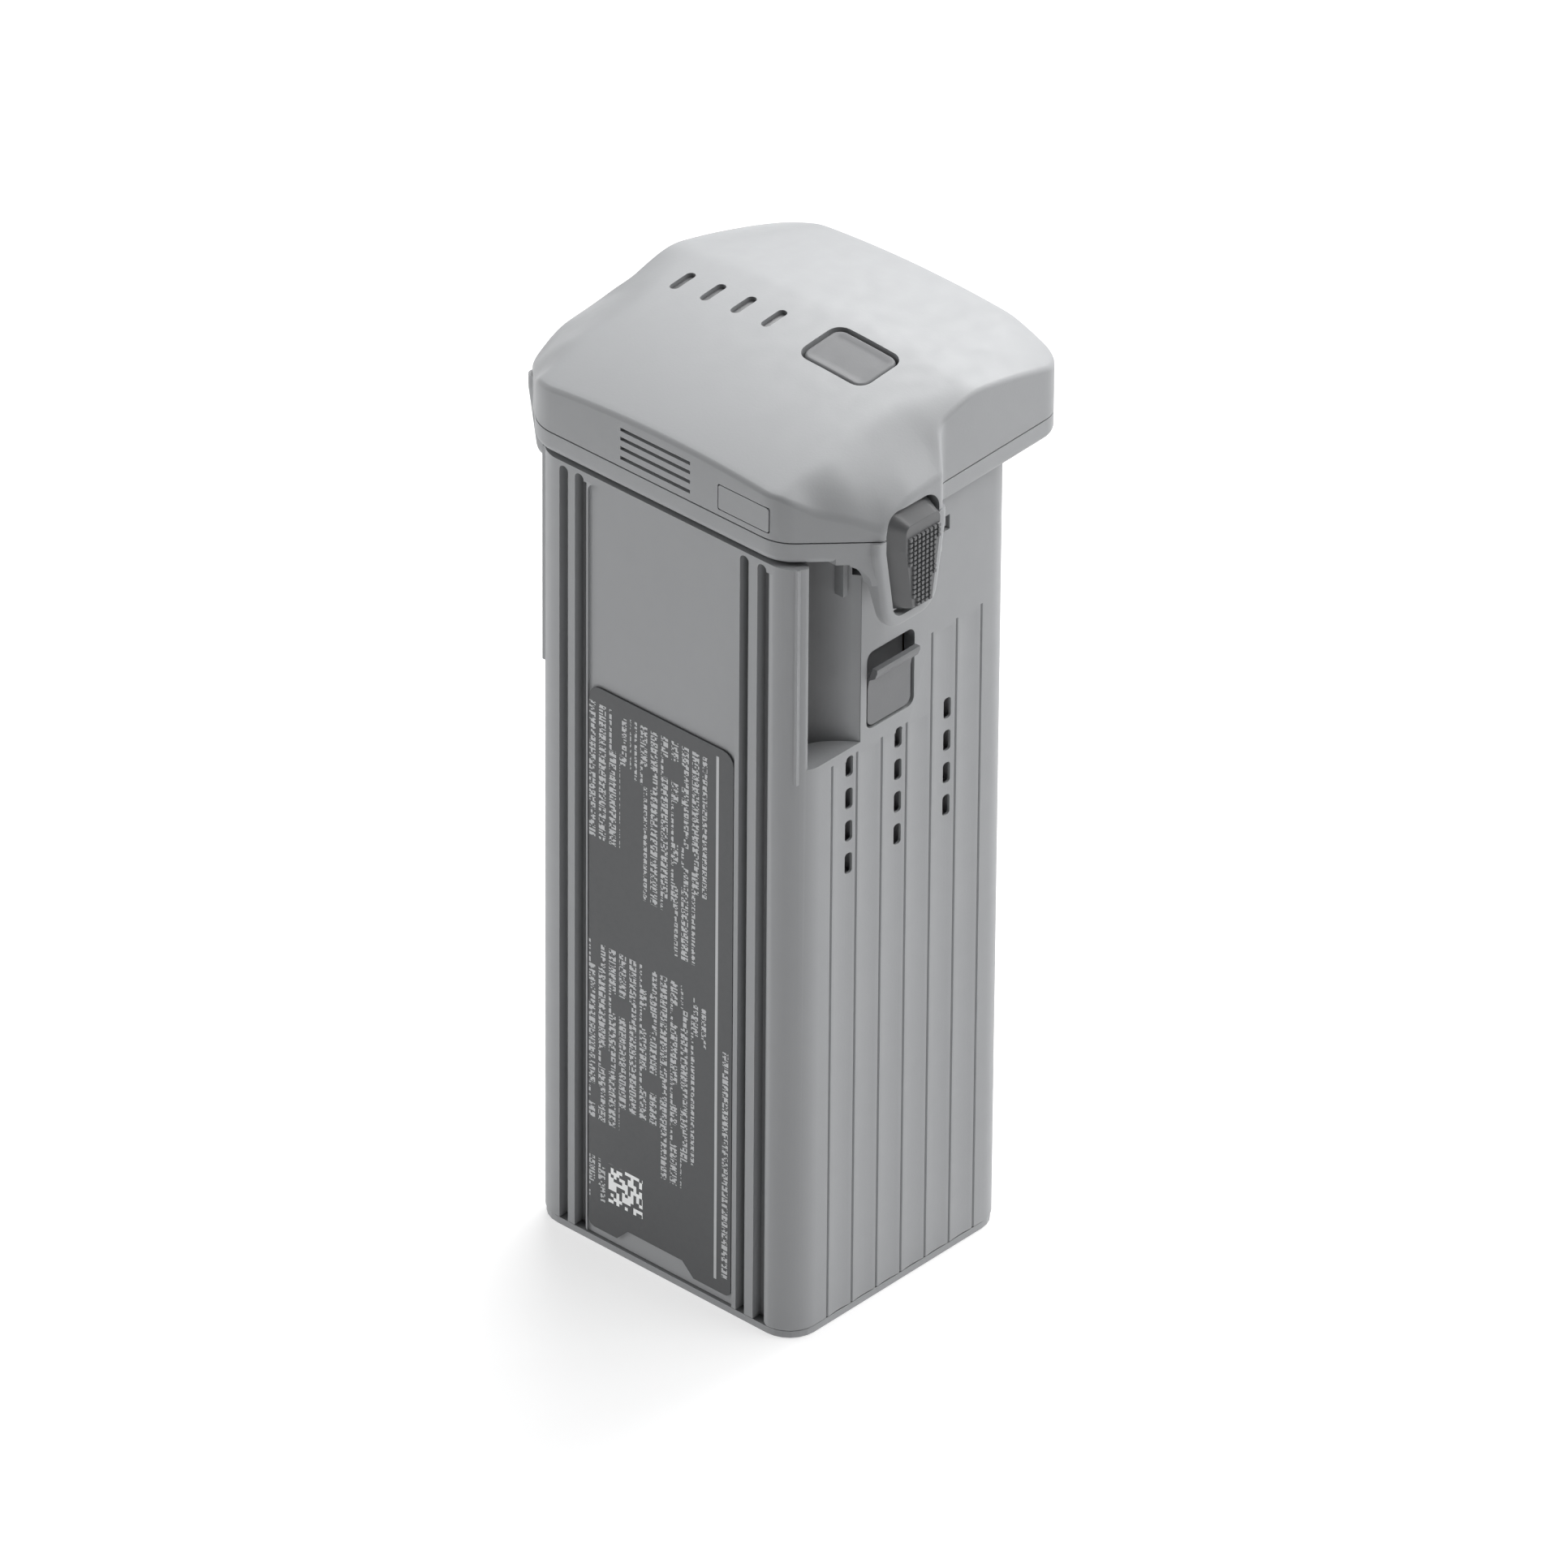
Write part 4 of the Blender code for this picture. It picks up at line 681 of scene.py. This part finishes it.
# ---- case
def build_case():
    """The case: a tube with guides and screw bosses inside, carved by its grooves, flutes and windows."""
    shell = plate("case_shell", [case_outline(), case_outline(WALL)], BODY_Z0, BODY_Z1)
    adds = []
    for side, sign in both_sides():
        pad_z = (GUIDE_Z0 - 2, BODY_Z1)
        adds.append(block(f"guide_pad_{side}", span(sign, *GUIDE_PAD_X), GUIDE_PAD_Y, pad_z))
        for k, y in enumerate((-BOSS_Y, BOSS_Y)):
            adds.append(rod(f"foot_boss_{side}_{k}", sign * BOSS_X, y, *BOSS_Z, BOSS_R))
    carve(shell, "UNION", adds)
    cutters = []
    for face, sign in (("front", -1), ("back", 1)):
        wall = sign * BODY_D / 2
        cutters += face_cutters(face, wall, sign)
    for side, sign in both_sides():
        cutters += side_cutters(side, sign)
        for k, y in enumerate((-BOSS_Y, BOSS_Y)):
            pilot_z = (BOSS_Z[0] - 1, BOSS_Z[1] - 0.6)
            cutters.append(rod(f"foot_bore_{side}_{k}", sign * BOSS_X, y, *pilot_z, PILOT_R))
    carve(shell, "DIFFERENCE", cutters)
    peg_z = (PEG_Z0, BODY_Z1)
    pegs = [block(f"guide_peg_{side}", span(sign, *PEG_X), PEG_Y, peg_z) for side, sign in both_sides()]
    carve(shell, "UNION", pegs)
    clean(shell)
    soften(shell, 0.16)
    piece(shell, "case", MATERIALS["case_grey"], "case_grey", "body_shell")


def face_cutters(face, wall, sign):
    """The grooves, the ramps beside two of them and the label panel, for the front or the back."""
    found = []
    for k, x in enumerate(GROOVES_X):
        groove = rectangle(x - GROOVE_W / 2, x + GROOVE_W / 2, BODY_Z0 - 1, BODY_Z1 - 0.6, 0.72)
        depth = sorted((wall + sign, wall - sign * GROOVE_DEPTH))
        found.append(plate(f"{face}_groove_{k}", [groove], *depth, "Y"))
    for k in (1, 3):
        x = GROOVES_X[k] + GROOVE_W / 2 - 0.05
        ramp = [
            (x - 0.4, wall + sign),
            (x - 0.4, wall - sign * RAMP_DEPTH),
            (x, wall - sign * RAMP_DEPTH),
            (x + RAMP_W * 0.5, wall - sign * RAMP_DEPTH * 0.38),
            (x + RAMP_W, wall + sign * 0.02),
            (x + RAMP_W, wall + sign),
        ]
        found.append(plate(f"{face}_ramp_{k}", [ramp], BODY_Z0 - 1, PANEL_Z1 - 0.2))
    panel = rectangle(*PANEL_X, BODY_Z0 - 5, PANEL_Z1, 1.5)
    found.append(plate(f"{face}_panel", [panel], *sorted((wall + sign, wall - sign * PANEL_DEPTH)), "Y"))
    return found


def side_cutters(side, sign):
    """The flutes, the hollow bands between them, the vents, the guide recess and the windows of one side."""
    found = []
    face = BODY_W / 2
    for k in range(FLUTE_COUNT):
        y = FLUTE_Y0 + k * FLUTE_PITCH
        top = FLUTE_TOPS[y >= 3]
        line = [(face + 1, y - FLUTE_W), (face, y - FLUTE_W / 2), (face - FLUTE_DEPTH, y)]
        line += [(face, y + FLUTE_W / 2), (face + 1, y + FLUTE_W)]
        found.append(plate(f"flute_{side}_{k}", [[(sign * u, v) for u, v in line]], -1, top))
        if k + 1 < FLUTE_COUNT:
            band = []
            for j in range(9):
                share = j / 8
                depth = BAND_DEPTH * 4 * share * (1 - share)
                band.append((face - depth + 0.001, y + 0.35 + (FLUTE_PITCH - 0.7) * share))
            band += [(face + 1, band[-1][1]), (face + 1, band[0][1])]
            found.append(plate(f"band_{side}_{k}", [[(sign * u, v) for u, v in band]], -1, top - 0.6))
    for column, y in enumerate(VENT_Y):
        for row in range(VENT_ROWS):
            z = VENT_Z0 + row * VENT_PITCH
            slot = rectangle(y - VENT_W / 2, y + VENT_W / 2, z - VENT_H / 2, z + VENT_H / 2, VENT_R)
            found.append(plate(f"vent_{side}_{column}{row}", [slot], *span(sign, face - 3, face + 1), "X"))
            pocket_y = tuple(y + beside for beside in VENT_POCKET_Y)
            pocket_z = (z - VENT_H / 2 - VENT_POCKET_Z, z + VENT_H / 2 + VENT_POCKET_Z)
            inner = span(sign, face - WALL - 0.5, face - VENT_RIB)
            found.append(block(f"vent_pocket_{side}_{column}{row}", inner, pocket_y, pocket_z))
    guide = [(sign * x, y) for x, y in smooth_guide()]
    found.append(plate(f"guide_{side}", [guide], GUIDE_Z0, BODY_Z1 + 1))
    through = span(sign, *THROUGH_SIDE_X)
    window = rectangle(*WINDOW_Y, *WINDOW_Z, 1.2)
    found.append(plate(f"window_{side}", [window], *through, "X"))
    notch_y = (LATCH_Y - NECK_Y - NECK_GAP, LATCH_Y + NECK_Y + NECK_GAP)
    found.append(block(f"neck_notch_{side}", through, notch_y, NECK_NOTCH_Z))
    half_y, half_z = CLIP_WINDOW_HALF
    clip_y, clip_z = (CLIP_Y - half_y, CLIP_Y + half_y), (CLIP_Z - half_z, CLIP_Z + half_z)
    found.append(block(f"clip_window_{side}", through, clip_y, clip_z))
    return found


def smooth_guide(steps=5):
    """The guide recess in plan: a smooth curve through its points, closed outside the case."""
    spots = [Vector(p) for p in GUIDE]
    found = []
    for k in range(len(spots) - 1):
        before, here = spots[max(k - 1, 0)], spots[k]
        there, after = spots[k + 1], spots[min(k + 2, len(spots) - 1)]
        straight, bend = there - before, 2 * before - 5 * here + 4 * there - after
        twist = 3 * here - before - 3 * there + after
        for j in range(steps):
            t = j / steps
            found.append(0.5 * (2 * here + straight * t + bend * t**2 + twist * t**3))
    last, first = GUIDE[-1], GUIDE[0]
    return [tuple(p) for p in found] + [last, (GUIDE_BEYOND_X, last[1]), (GUIDE_BEYOND_X, first[1])]


# ---- head
def cover_screws():
    xs = (HEAD_X - COVER_SCREW_X, HEAD_X + COVER_SCREW_X)
    return [(x, y) for x in xs for y in COVER_SCREW_Y]


def build_cover():
    """The head's upper shell, with holes for the button, windows and latches, and cuts in its front band."""
    floor_z = SEAM_Z + SEAM / 2
    shares = [k / COVER_RINGS for k in range(1, COVER_RINGS)]
    outer, outer_middle = cover_rings(0.0, 0.0, floor_z, EDGE_R, shares, 7)
    inner, inner_middle = cover_rings(WALL, ROOF, floor_z, 0.6, shares[2::4], 2)
    cover = lofted("head_shell", outer + inner[::-1], outer_middle, inner_middle)
    cutters = [plate("button_hole", [button_outline(-BUTTON_GAP)], *THROUGH_ROOF_Z)]
    for side, sign in both_sides():
        cutters.append(shield_loft(f"cover_opening_{side}", shield_corners(), opening_steps(sign)))
    for k in range(LIGHT_COUNT):
        cutters.append(plate(f"light_slot_{k}", [light_outline(k, -LIGHT_GAP)], *THROUGH_ROOF_Z))
    for k, z in enumerate(BAND_LINES_Z):
        line = rectangle(*BAND_LINES_X, z - BAND_LINE_HALF_W, z + BAND_LINE_HALF_W)
        cutters.append(plate(f"band_line_{k}", [line], *BAND_CUT_Y, "Y"))
    seat = rectangle(*SERVICE_X, *SERVICE_Z, 0.3)
    cutters.append(plate("service_seat", [seat], *BAND_CUT_Y, "Y"))
    carve(cover, "DIFFERENCE", cutters)
    clean(cover, 0)
    soften(cover, 0.12, 40)
    piece(cover, "case", MATERIALS["case_grey"], "case_grey", "head_cover")


def opening_steps(sign):
    near, far = (sign * 12.0, HEAD_X + sign * (LATCH_FACE + 3))
    return [(near, 0.0), (far, 0.0)]


def build_tray():
    """The head's lower shell, with tongues and clips that go into the case, and the latch surrounds."""
    top, joined = SEAM_Z - SEAM / 2, TRAY_Z0 + 1
    turned = quarter_turn(TRAY_EDGE_R, 6)
    rings = [[(x, y, TRAY_Z0 + drop) for x, y in head_outline(back)] for back, drop in turned]
    rings.append([(x, y, top) for x, y in head_outline(0.0)])
    tray = lofted("head_flange", rings)
    adds = [block(f"tray_tongue_{end}", TONGUE_X, y, (TONGUE_Z0, joined)) for end, y in TONGUES_Y.items()]
    for side, sign in both_sides():
        adds.append(bezel(side, sign, top))
        nub_y = (CLIP_Y - CLIP_NUB_HALF_W, CLIP_Y + CLIP_NUB_HALF_W)
        adds.append(block(f"clip_nub_{side}", span(sign, *CLIP_NUB_X), nub_y, CLIP_NUB_Z))
        tongue_z = (CLIP_TONGUE_Z0, joined)
        adds.append(block(f"clip_tongue_{side}", span(sign, *CLIP_TONGUE_X), CLIP_TONGUE_Y, tongue_z))
    carve(tray, "UNION", adds)
    cutters = [plate("tray_middle", [rectangle(*TRAY_CLEAR)], *THROUGH_TRAY_Z)]
    for side, sign in both_sides():
        cutters.append(shield_loft(f"tray_opening_{side}", shield_corners(), opening_steps(sign)))
    for k, (x, y) in enumerate(cover_screws()):
        cutters.append(rod(f"tray_bore_{k}", x, y, *THROUGH_TRAY_Z, COVER_BORE_R))
        cutters.append(rod(f"tray_sink_{k}", x, y, THROUGH_TRAY_Z[0], TRAY_Z0 + COVER_SINK, COVER_SINK_R))
    carve(tray, "DIFFERENCE", cutters)
    clean(tray)
    soften(tray, 0.14)
    piece(tray, "case", MATERIALS["case_grey"], "case_grey", "head_tray")


def bezel(side, sign, top):
    """The rounded surround of a latch under the seam, thinner towards its foot."""
    face = HEAD_X + sign * LATCH_FACE
    steps = [(sign * (BODY_W / 2 + 0.3), 0.0)]
    for back, drop in quarter_turn(BEZEL_EDGE_R, 5):
        steps.append((face - sign * back, drop))
    boss = shield_loft(f"bezel_{side}", shield_corners(RIM_TOP, RIM_SIDE, RIM_BOTTOM), steps)
    behind = [(HEAD_X + sign * (LATCH_FACE - depth), z) for depth, z in SURROUND]
    behind += [(sign * (BODY_W / 2 - 1), z) for _, z in reversed(SURROUND)]
    upper = block(f"bezel_top_{side}", span(sign, 20, 34), (-16, 4), (top, 135))
    carve(boss, "UNION", [bezel_swoop(side, sign)])
    carve(boss, "DIFFERENCE", [upper, plate(f"bezel_back_{side}", [behind], -20, 8, "Y")])
    bpy.context.scene.collection.objects.unlink(boss)
    return boss


def bezel_swoop(side, sign):
    """The flange's wall where it sweeps down into the surround, with an arc on each side."""
    beside = OPENING_HALF_W + RIM_SIDE - SWOOP_TUCK
    turns = [math.pi / 2 * k / 8 for k in range(9)]
    arc = [(beside + SWOOP_R * (1 - math.cos(t)), TRAY_Z0 - SWOOP_R * (1 - math.sin(t))) for t in turns]
    half = [(beside - 1.0, TRAY_Z0 - SWOOP_R), *arc, (beside + SWOOP_R, TRAY_Z0 + 1.5)]
    profile = [(LATCH_Y + y, z) for y, z in half] + [(LATCH_Y - y, z) for y, z in reversed(half)]
    skirt = plate(f"bezel_swoop_{side}", [head_outline(0.02)], TRAY_Z0 - SWOOP_R - 0.5, TRAY_Z0 + 1.4)
    reach = plate(f"swoop_reach_{side}", [profile], *span(sign, BODY_W / 2 + 0.3, 34), "X")
    carve(skirt, "INTERSECT", [reach])
    bpy.context.scene.collection.objects.unlink(skirt)
    return skirt


# ---- controls
def button_outline(inset=0.0):
    return pill(BUTTON_X, BUTTON_Y, BUTTON_W / 2, BUTTON_D / 2, BUTTON_R, inset, 0.8)


def pill(x, y, half_w, half_l, radius, inset, longest):
    sides = ((-1, -1), (1, -1), (1, 1), (-1, 1))
    corners = [(x + u * half_w, y + v * half_l, radius) for u, v in sides]
    return rounded_polygon(corners, inset, 6, longest)


def light_outline(index, inset=0.0):
    x = LIGHT_X0 + index * LIGHT_PITCH
    return pill(x, LIGHT_Y, LIGHT_W / 2, LIGHT_L / 2, LIGHT_W * 0.475, inset, 0.6)


def domed(name, outline_at, z0, proud, radius, steps=4, dish=0.0):
    """A plug whose top follows the head, with a rounded rim and a face that may be dished."""
    rings = [[(x, y, z0) for x, y in outline_at(0.0)]]
    for back, drop in reversed(quarter_turn(radius, steps)):
        rings.append(on_top(outline_at(back), drop - proud))
    edge = outline_at(radius)
    if dish:
        edge = outline_at(radius + 2.4 * dish)
        rings.append(on_top(edge, dish - proud))
        proud -= dish
    cx = sum(p[0] for p in edge) / len(edge)
    cy = sum(p[1] for p in edge) / len(edge)
    for share in (0.75, 0.5, 0.25):
        rings.append(on_top([(cx + (x - cx) * share, cy + (y - cy) * share) for x, y in edge], -proud))
    return lofted(name, rings, None, on_top([(cx, cy)], -proud)[0])


def build_controls():
    """The power button with the flange and stem under it, and the charge windows."""
    button = domed("button_cap", button_outline, BUTTON_FOOT_Z, -BUTTON_SUNK, BUTTON_ROUND, dish=BUTTON_DISH)
    flange = button_outline(-BUTTON_GAP - FLANGE_BEYOND)
    stem = rod("button_stem", BUTTON_X, BUTTON_Y, *STEM_Z, STEM_R)
    carve(button, "UNION", [plate("button_flange", [flange], *FLANGE_Z), stem])
    clean(button, 0)
    soften(button, 0.08, 50)
    piece(button, "button", BUTTON_PLASTIC, "case_grey", "power_button")
    for k in range(LIGHT_COUNT):
        outline = partial(light_outline, k)
        lens = domed(f"light_lens_{k + 1}", outline, LENS_FOOT_Z, -LENS_SUNK, LENS_ROUND, 3)
        soften(lens, 0.04, 60)
        piece(lens, "case", MATERIALS["light_pipe"], "light_pipe", f"light_pipe_{k + 1}")


# ---- latches
def build_latch(side, sign):
    """A latch: its pad, the grip on the pad, and the arm that carries the hook."""
    face = HEAD_X + sign * LATCH_FACE
    pad = shield_loft(f"latch_pad_{side}", shield_corners(), pad_steps(face, sign))
    tilt_pad(pad, face, sign)
    soften(pad, 0.18, 28, 3)
    piece(pad, f"{side}_latch", MATERIALS["case_dark"], "case_dark", f"latch_{side}")
    arm = latch_arm(side, sign, face)
    piece(arm, f"{side}_latch", LATCH_GREY, "case_dark")
    grip = latch_grip(side, sign, face)
    piece(grip, f"{side}_latch", MATERIALS["case_dark"], "case_dark")


def pad_steps(face, sign):
    return [
        (face - sign * PAD_BACK, PAD_GAP),
        (face - sign * PAD_SUNK, PAD_GAP),
        (face + sign * PAD_PROUD, PLATEAU_INSET),
    ]


def to_plateau(y, z):
    """The plateau sits back and low on the pad, which leaves wide facets at its front and top."""
    low, high = OPENING_BOTTOM + PLATEAU_INSET, OPENING_TOP - PLATEAU_INSET
    share = (z - low) / (high - low)
    return y + PLATEAU_BACK, PLATEAU_Z[0] + (PLATEAU_Z[1] - PLATEAU_Z[0]) * share


def tilt_pad(pad, face, sign):
    """Moves the pad's outermost points on to its plateau."""
    for vertex in pad.data.vertices:
        if (vertex.co.x / MM - face) * sign > PAD_PROUD - 0.05:
            y, z = to_plateau(vertex.co.y / MM, vertex.co.z / MM)
            vertex.co.y, vertex.co.z = y * MM, z * MM


def latch_arm(side, sign, face):
    """The part of a latch behind and below its pad: neck, leaf, and hook with rounded lower corners."""
    inner = face - sign * PAD_BACK
    neck_x = tuple(sorted((sign * ARM_X, inner + sign * 1.0)))
    arm_x = span(sign, ARM_X, ARM_X + ARM_T)
    arm = block(f"latch_arm_{side}", neck_x, (LATCH_Y - NECK_Y, LATCH_Y + NECK_Y), NECK_Z)
    leaf_y = (WINDOW_Y[0] + LEAF_GAP, WINDOW_Y[1] - LEAF_GAP)
    leaf = block(f"latch_leaf_{side}", arm_x, leaf_y, (LEAF_Z0, ARM_TOP))
    upper_z = (ARM_TOP - 0.6, NECK_Z[0] + 0.6)
    upper = block(f"latch_upper_{side}", arm_x, (LATCH_Y - 1.4, LATCH_Y + NECK_Y), upper_z)
    profile = [(sign * x, z) for x, z in hook_profile()]
    hook_y = (WINDOW_Y[0] + HOOK_GAPS[0], WINDOW_Y[1] - HOOK_GAPS[1])
    hook = plate(f"latch_hook_{side}", [profile], *hook_y, "Y")
    foot = rectangle(*hook_y, LEAF_Z0, 130, 1.1)
    carve(hook, "INTERSECT", [plate(f"hook_foot_{side}", [foot], *span(sign, 10, 40), "X")])
    bpy.context.scene.collection.objects.unlink(hook)
    carve(arm, "UNION", [leaf, upper, hook])
    clean(arm)
    return soften(arm, 0.16)


def hook_profile():
    """The hook in (x, z): a panel flush with the case that flares to a lip, with a hollow behind the lip."""
    flush, proud, low = BODY_W / 2 - 0.1, BODY_W / 2 + HOOK_PROUD, LEAF_Z0
    return [
        (ARM_X + 0.5, low),
        (flush, low),
        (flush, HOOK_Z0),
        (flush + 0.25, HOOK_Z0 + 1.4),
        (proud - 0.35, HOOK_TOP - 1.4),
        (proud, HOOK_TOP - 0.5),
        (proud, HOOK_TOP),
        (proud - HOOK_LIP, HOOK_TOP),
        (proud - HOOK_LIP - 0.5, HOOK_TOP - 1.6),
        (flush - 0.8, HOOK_TOP - 2.8),
        (ARM_X + 0.5, HOOK_TOP - 2.8),
    ]


def latch_grip(side, sign, face):
    """Rows of small pyramids over the pad's plateau."""
    base = face + sign * (PAD_PROUD - STUD_SUNK)
    bm = bmesh.new()
    edge = rounded_polygon(shield_corners(), PLATEAU_INSET + GRIP_MARGIN, 8, 0.8)
    outline = [Vector(to_plateau(y, z)) for y, z in edge]
    ys, zs = [p.x for p in outline], [p.y for p in outline]
    top = max(zs) - GRIP_TOP_MARGIN
    rows = int((top - min(zs)) / GRIP_PITCH_Z)
    columns = int((max(ys) - min(ys)) / GRIP_PITCH_Y) + 1
    for row in range(rows + 1):
        z = top - row * GRIP_PITCH_Z
        for column in range(-1, columns + 1):
            y = min(ys) + (column + 0.5) * GRIP_PITCH_Y
            if contains(outline, Vector((y, z))):
                stud(bm, base, sign, y, z)
    return object_from_bmesh(f"latch_grip_{side}", bm)


def stud(bm, base, sign, y, z):
    """One small blunt pyramid of the grip."""
    rings = []
    for rise, half in ((0.0, STUD_BASE), (GRIP_RISE + STUD_SUNK, STUD_TOP)):
        corners = ((-half, -half), (half, -half), (half, half), (-half, half))
        x = base + sign * rise
        rings.append([bm.verts.new(Vector((x, y + u, z + v)) * MM) for u, v in corners])
    for k in range(4):
        nxt = (k + 1) % 4
        bm.faces.new((rings[0][k], rings[0][nxt], rings[1][nxt], rings[1][k]))
    bm.faces.new(rings[1])
    bm.faces.new(rings[0][::-1])


def contains(outline, spot):
    """Whether a spot is inside an outline: a ray from it crosses the outline an odd number of times."""
    inside_it = False
    for a, b in zip(outline, outline[1:] + outline[:1]):
        crosses = (a.y > spot.y) != (b.y > spot.y)
        if crosses and spot.x < (b.x - a.x) * (spot.y - a.y) / (b.y - a.y) + a.x:
            inside_it = not inside_it
    return inside_it


def build_spring(side):
    """A latch's return spring in its CAD shape, riding on the case."""
    node = frame["nodes"][f"latch_spring_{side}"]
    coil = bpy.data.objects.new(f"return_spring_{side}", node.data.copy())
    coil.matrix_world = node.matrix_world
    piece(coil, "case", MATERIALS["spring_steel"], "spring_steel", node.name)
    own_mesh(coil)


# ---- carried-over CAD nodes
def dress_cad_nodes():
    """Every CAD node that still shows gets its procedural material, and the outer ones get soft edges."""
    slots = {row["node"]: row["material_slot"] for row in frame["record"]["subparts"]}
    for name, node in frame["nodes"].items():
        node.data.materials.clear()
        node.data.materials.append(MATERIALS[slots[name]])
        if name in SOFTENED:
            bevel = node.modifiers.new("soften", "BEVEL")
            bevel.width = SOFTENED[name] * MM
            bevel.segments = 3
            bevel.limit_method = "ANGLE"
            bevel.angle_limit = math.radians(35)


# ---- studio
def view_axes():
    """The camera's right, up and backward directions."""
    a, e, r = (math.radians(v) for v in (VIEW_AZIMUTH, VIEW_ELEVATION, VIEW_ROLL))
    back = Vector((math.sin(a) * math.cos(e), -math.cos(a) * math.cos(e), math.sin(e)))
    right = Vector((math.cos(a), math.sin(a), 0))
    up = back.cross(right)
    return right * math.cos(r) + up * math.sin(r), up * math.cos(r) - right * math.sin(r), back


def build_camera():
    """The camera where the photograph was taken from."""
    right, up, back = view_axes()
    data = bpy.data.cameras.new("camera")
    data.lens, data.sensor_width = VIEW_LENS, VIEW_SENSOR
    data.clip_start, data.clip_end = 0.1, 50
    camera = bpy.data.objects.new("camera", data)
    bpy.context.scene.collection.objects.link(camera)
    turn = Matrix((right, up, back)).transposed().to_4x4()
    spot = (right * VIEW_SHIFT[0] + up * VIEW_SHIFT[1] + back * VIEW_DISTANCE) * MM
    camera.matrix_world = Matrix.Translation(spot) @ turn
    bpy.context.scene.camera = camera


def area_light(name, spot, target, size, power):
    data = bpy.data.lights.new(name, "AREA")
    data.shape = "RECTANGLE"
    data.size, data.size_y = size
    data.energy = power
    light = bpy.data.objects.new(name, data)
    bpy.context.scene.collection.objects.link(light)
    light.location = spot
    light.rotation_euler = (Vector(target) - Vector(spot)).to_track_quat("-Z", "Y").to_euler()


def build_world():
    """Even surroundings that fall off to a dim side, as in a studio that is lit from behind."""
    world = bpy.data.worlds.new("studio")
    bpy.context.scene.world = world
    world.use_nodes = True
    nodes, links = world.node_tree.nodes, world.node_tree.links
    where = nodes.new("ShaderNodeTexCoord")
    toward = nodes.new("ShaderNodeVectorMath")
    toward.operation = "DOT_PRODUCT"
    toward.inputs[1].default_value = WORLD_DIM_SIDE
    fade = nodes.new("ShaderNodeMapRange")
    fade.interpolation_type = "SMOOTHSTEP"
    ends = (*WORLD_FADE, WORLD_BRIGHT, WORLD_DIM)
    for key, value in zip(("From Min", "From Max", "To Min", "To Max"), ends):
        fade.inputs[key].default_value = value
    links.new(where.outputs["Generated"], toward.inputs[0])
    links.new(toward.outputs["Value"], fade.inputs["Value"])
    background = nodes["Background"]
    background.inputs["Color"].default_value = (1.0, 1.0, 1.0, 1.0)
    links.new(fade.outputs["Result"], background.inputs["Strength"])


def build_studio():
    """The pale floor, the softboxes and the surroundings."""
    bm = bmesh.new()
    bmesh.ops.create_grid(bm, x_segments=1, y_segments=1, size=FLOOR_SIZE)
    floor = object_from_bmesh("floor", bm)
    floor.location.z = -FLOOR_DROP
    shade = Shade("floor_paper", roughness=0.9, specular_ior_level=0.1)
    shade.colour(shade.mix(shade.noise(0.02, 2.0), rgba((0.44, 0.44, 0.445)), rgba((0.46, 0.46, 0.46))))
    shade.shader.inputs["Emission Color"].default_value = (1.0, 1.0, 1.0, 1.0)
    shade.shader.inputs["Emission Strength"].default_value = FLOOR_GLOW
    floor.data.materials.append(shade.bump(shade.noise(0.5, 2.0), 0.01).material)
    bpy.context.scene.collection.objects.link(floor)
    build_world()
    for name, (spot, size, power) in LIGHTS.items():
        area_light(name, spot, LIGHTS_AIM, size, power)
    bpy.context.scene.view_settings.view_transform = "Standard"


build_case()
build_cover()
build_tray()
build_controls()
for latch_side, latch_sign in both_sides():
    build_latch(latch_side, latch_sign)
    build_spring(latch_side)
dress_cad_nodes()
bpy.data.collections.remove(TOOLS)
build_camera()
build_studio()
